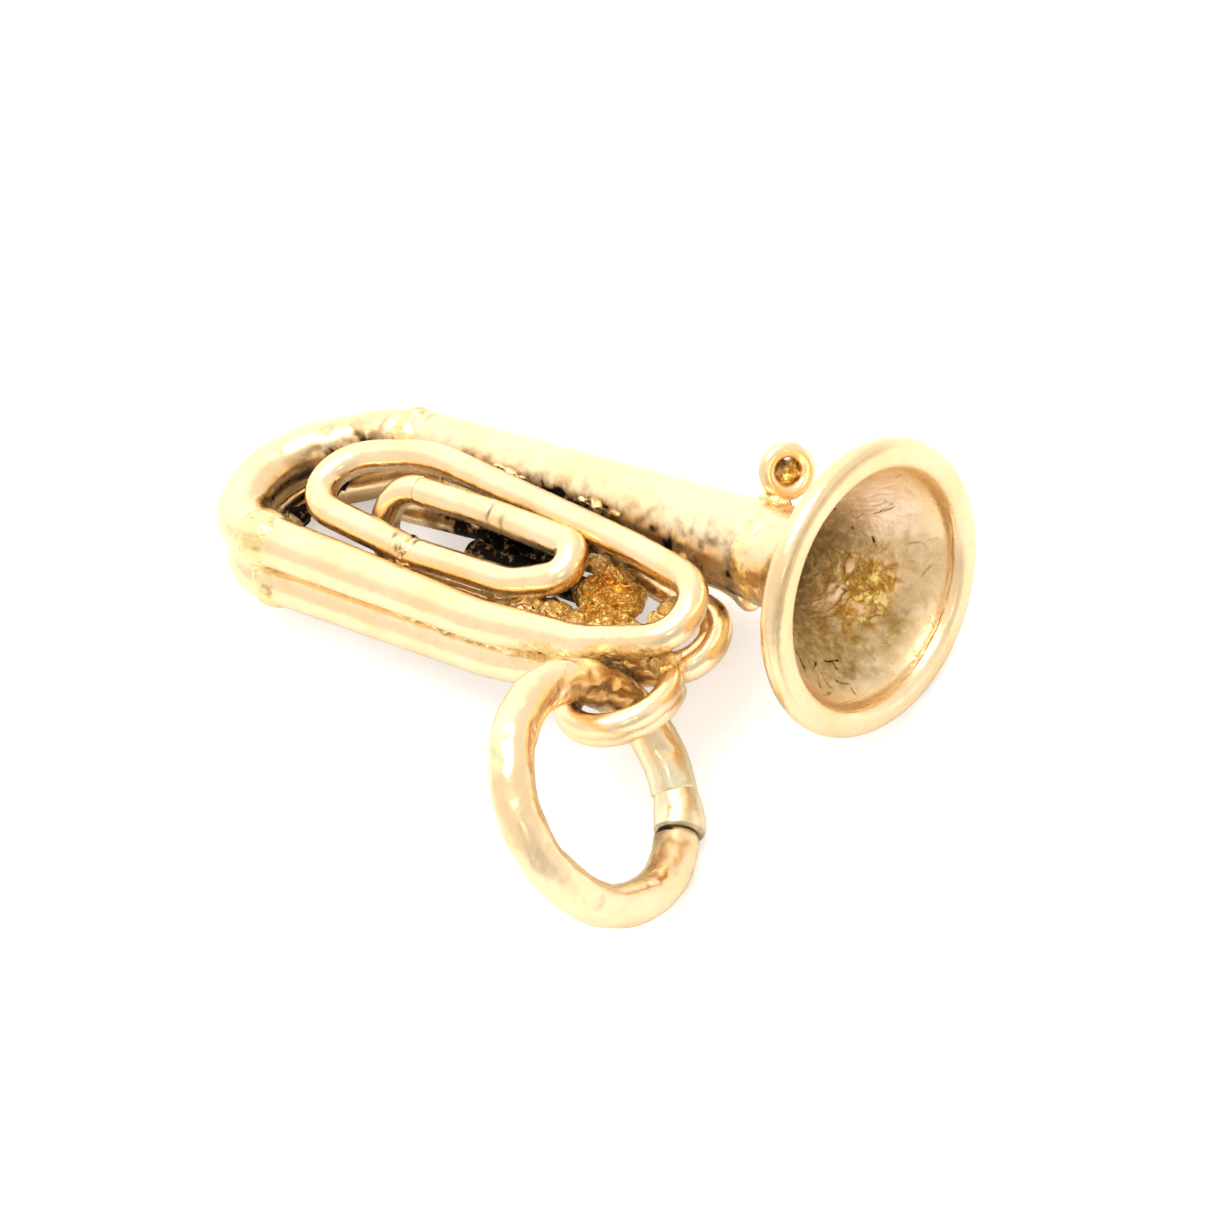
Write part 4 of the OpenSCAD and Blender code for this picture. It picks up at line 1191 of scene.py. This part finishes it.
def ring_detail(points, along, angle):
    """Worn flats all round, grime and pale metal near the ends of the wire."""
    surface = worn(seed=270, wobble=0.012, mid=0.005, fine=0.0012)
    rise, paint = surface(points, along, angle)
    left = along.max() - along
    rise = (rise + 0.022 * noise(points, 1.5, seed=273)
            - 0.028 * ease(0.15, 0.7, noise(points, 2.2, seed=274))
            + 0.006 * fbm(points, 4.5, octaves=2, seed=276))
    mouth = np.exp(-((left / 0.16) ** 2)) + np.exp(-((along / 0.2) ** 2))
    rise = rise + 0.012 * mouth * fbm(points, 5.0, octaves=3, seed=275)
    inner_edge = ease(0.55, 1.0, np.cos(angle)) * np.exp(-(((left - 0.3) / 0.6) ** 2))
    mouth_dirt = mouth * ease(0.1, 0.4, fbm(points, 3, octaves=3, seed=277))
    paint[:, 0] += (0.45 * np.exp(-((left / 0.02) ** 2)) + 0.15 * mouth_dirt
                    + 0.6 * inner_edge)
    ragged = along + 0.7 * fbm(points, 1.3, octaves=3, seed=279)
    paint[:, 2] += 0.75 * ease(1.5, 0.1, ragged)
    return rise, paint


def ring_solder_detail(points, along, angle):
    """A smooth swelling on the outer side that sinks into the wire away from its start."""
    outer = np.clip(-np.cos(angle), 0, 1)
    flow = ease(1.25, 0.2, along + 0.22 * noise(points, 1.9, seed=287))
    rise = (-0.085 + 0.078 * flow + 0.085 * outer * np.exp(-(((along - 0.28) / 0.42) ** 2))
            + 0.006 * fbm(points, 2.2, octaves=3, seed=281)
            + 0.003 * fbm(points, 7, octaves=2, seed=283))
    grime_and_shade = (0.12 * ease(0.15, 0.5, fbm(points, 3.2, octaves=3, seed=285))
             + 0.45 * np.exp(-((along / 0.02) ** 2)))
    none = np.zeros(len(points))
    return rise, np.stack([np.clip(grime_and_shade, 0, 1), none, np.full(len(points), 0.75), none], 1)


wire("cord_loop", "cord_ring", shift(*CORD_CENTRE) @ turn("x", 25.1) @ turn("y", 60),
     circle_path(0.455, 0, 360, step=0.03), radius=0.175, segments=44, closed=True,
     detail=worn(seed=240, wobble=0.010, mid=0.004), material=RING_GOLD)
bail("bail_upper_wire", "bail_ring_upper", (-3.836, -4.203, 0.2), 280, 250, WORN_GOLD)
bail("bail_lower_wire", "bail_ring_lower", (-4.046, -4.143, -0.28), 230, 260, RING_GOLD)
wire("ring_wire", "jump_ring", RING_PLACE, circle_path(2.434, 41, 338, step=0.05),
     radius=0.49, segments=72, edge=(0.05, 0.12), detail=ring_detail, material=RING_GOLD,
     body="jump_ring")
wire("ring_solder", "jump_ring_solder", RING_PLACE, circle_path(2.454, 19.5, 33.5, step=0.02),
     radius=0.53, segments=72, edge=(0.10, 0.1), detail=ring_solder_detail,
     material=RING_GOLD, body="jump_ring", slot="pale_solder")

# ------------------------------------------------------------------ floor, light, camera


def floor_white():
    """Matt white that also glows a little to the camera alone."""
    material = bpy.data.materials.new("floor_white")
    material.use_nodes = True
    nodes = material.node_tree.nodes
    graph = Graph(material.node_tree)
    matt = nodes["Principled BSDF"]
    matt.inputs["Base Color"].default_value = (0.93, 0.925, 0.915, 1)
    matt.inputs["Roughness"].default_value = 0.9
    matt.inputs["Specular IOR Level"].default_value = 0.1
    rays = graph.add("ShaderNodeLightPath")
    glow = graph.add("ShaderNodeEmission")
    glow.inputs["Color"].default_value = (1, 0.995, 0.985, 1)
    glow_strength = 0.42
    strength = graph.times(rays.outputs["Is Camera Ray"], glow_strength)
    graph.feed(glow.inputs["Strength"], strength)
    both = graph.add("ShaderNodeAddShader")
    graph.feed(both.inputs[0], matt.outputs[0])
    graph.feed(both.inputs[1], glow.outputs[0])
    graph.feed(nodes["Material Output"].inputs[0], both.outputs[0])
    return material


def floor():
    mesh = bpy.data.meshes.new("floor")
    bm = bmesh.new()
    bmesh.ops.create_grid(bm, x_segments=8, y_segments=8, size=4.0)
    bm.to_mesh(mesh)
    bm.free()
    sheet = bpy.data.objects.new("floor", mesh)
    bpy.context.scene.collection.objects.link(sheet)
    mesh.materials.append(floor_white())


def studio():
    """An even sky with soft round patches, set by directions in the horn's frame."""
    world = bpy.data.worlds.new("studio")
    bpy.context.scene.world = world
    world.use_nodes = True
    world.node_tree.nodes.clear()
    graph = Graph(world.node_tree)
    output = graph.add("ShaderNodeOutputWorld")
    sky = graph.add("ShaderNodeBackground")
    graph.feed(output.inputs[0], sky.outputs[0])
    view = graph.add("ShaderNodeTexCoord").outputs["Generated"]

    def patch(direction, inner, outer):
        """1 within inner degrees of a direction, 0 beyond outer."""
        aim = LAY[:3, :3] @ np.array(direction, float)
        aim /= np.linalg.norm(aim)
        dot = graph.add("ShaderNodeVectorMath", operation="DOT_PRODUCT")
        graph.feed(dot.inputs[0], view)
        graph.feed(dot.inputs[1], aim.tolist())
        return graph.span(dot.outputs["Value"], start=math.cos(math.radians(outer)),
                          end=math.cos(math.radians(inner)))

    overhead = patch((0.02, 0.10, 0.95), inner=17, outer=24)
    camera_side = patch((0.62, -0.42, 0.66), inner=4, outer=7)
    low_dim = patch((0.75, -0.6, 0.15), inner=12, outer=55)
    far_side = patch((-0.6, 0.4, 0.5), inner=20, outer=60)
    # The sky's own brightness, and what each patch adds or takes
    base, overhead_gain, camera_gain, far_gain, dim_loss = 1.02, 3.2, 2.4, 0.5, 0.3
    level = graph.plus(base, graph.times(overhead, overhead_gain))
    level = graph.plus(level, graph.times(camera_side, camera_gain))
    level = graph.plus(level, graph.times(far_side, far_gain))
    level = graph.minus(level, graph.times(low_dim, dim_loss))
    sky.inputs["Color"].default_value = (1.0, 0.985, 0.955, 1)
    graph.feed(sky.inputs["Strength"], level)


def camera():
    data = bpy.data.cameras.new("camera")
    data.sensor_width = 36.0
    data.lens = CAMERA_LENS
    data.clip_start = 0.02
    data.clip_end = 20.0
    viewer = bpy.data.objects.new("camera", data)
    bpy.context.scene.collection.objects.link(viewer)
    # The axes are rounded, so take the nearest true rotation
    left, _, right = np.linalg.svd(np.array([CAMERA_RIGHT, CAMERA_UP, CAMERA_BACK]))
    axes = left @ right
    position = -axes.T @ np.array(CAMERA_ORIGIN)
    place = np.eye(4)
    place[:3, :3] = LAY[:3, :3] @ axes.T
    place[:3, 3] = move(LAY, position) * MM
    viewer.matrix_world = Matrix(place.tolist())
    bpy.context.scene.camera = viewer


floor()
studio()
camera()

view = bpy.context.scene.view_settings
view.view_transform = "Standard"
view.look = "None"
view.exposure = 0.0
view.gamma = 1.0
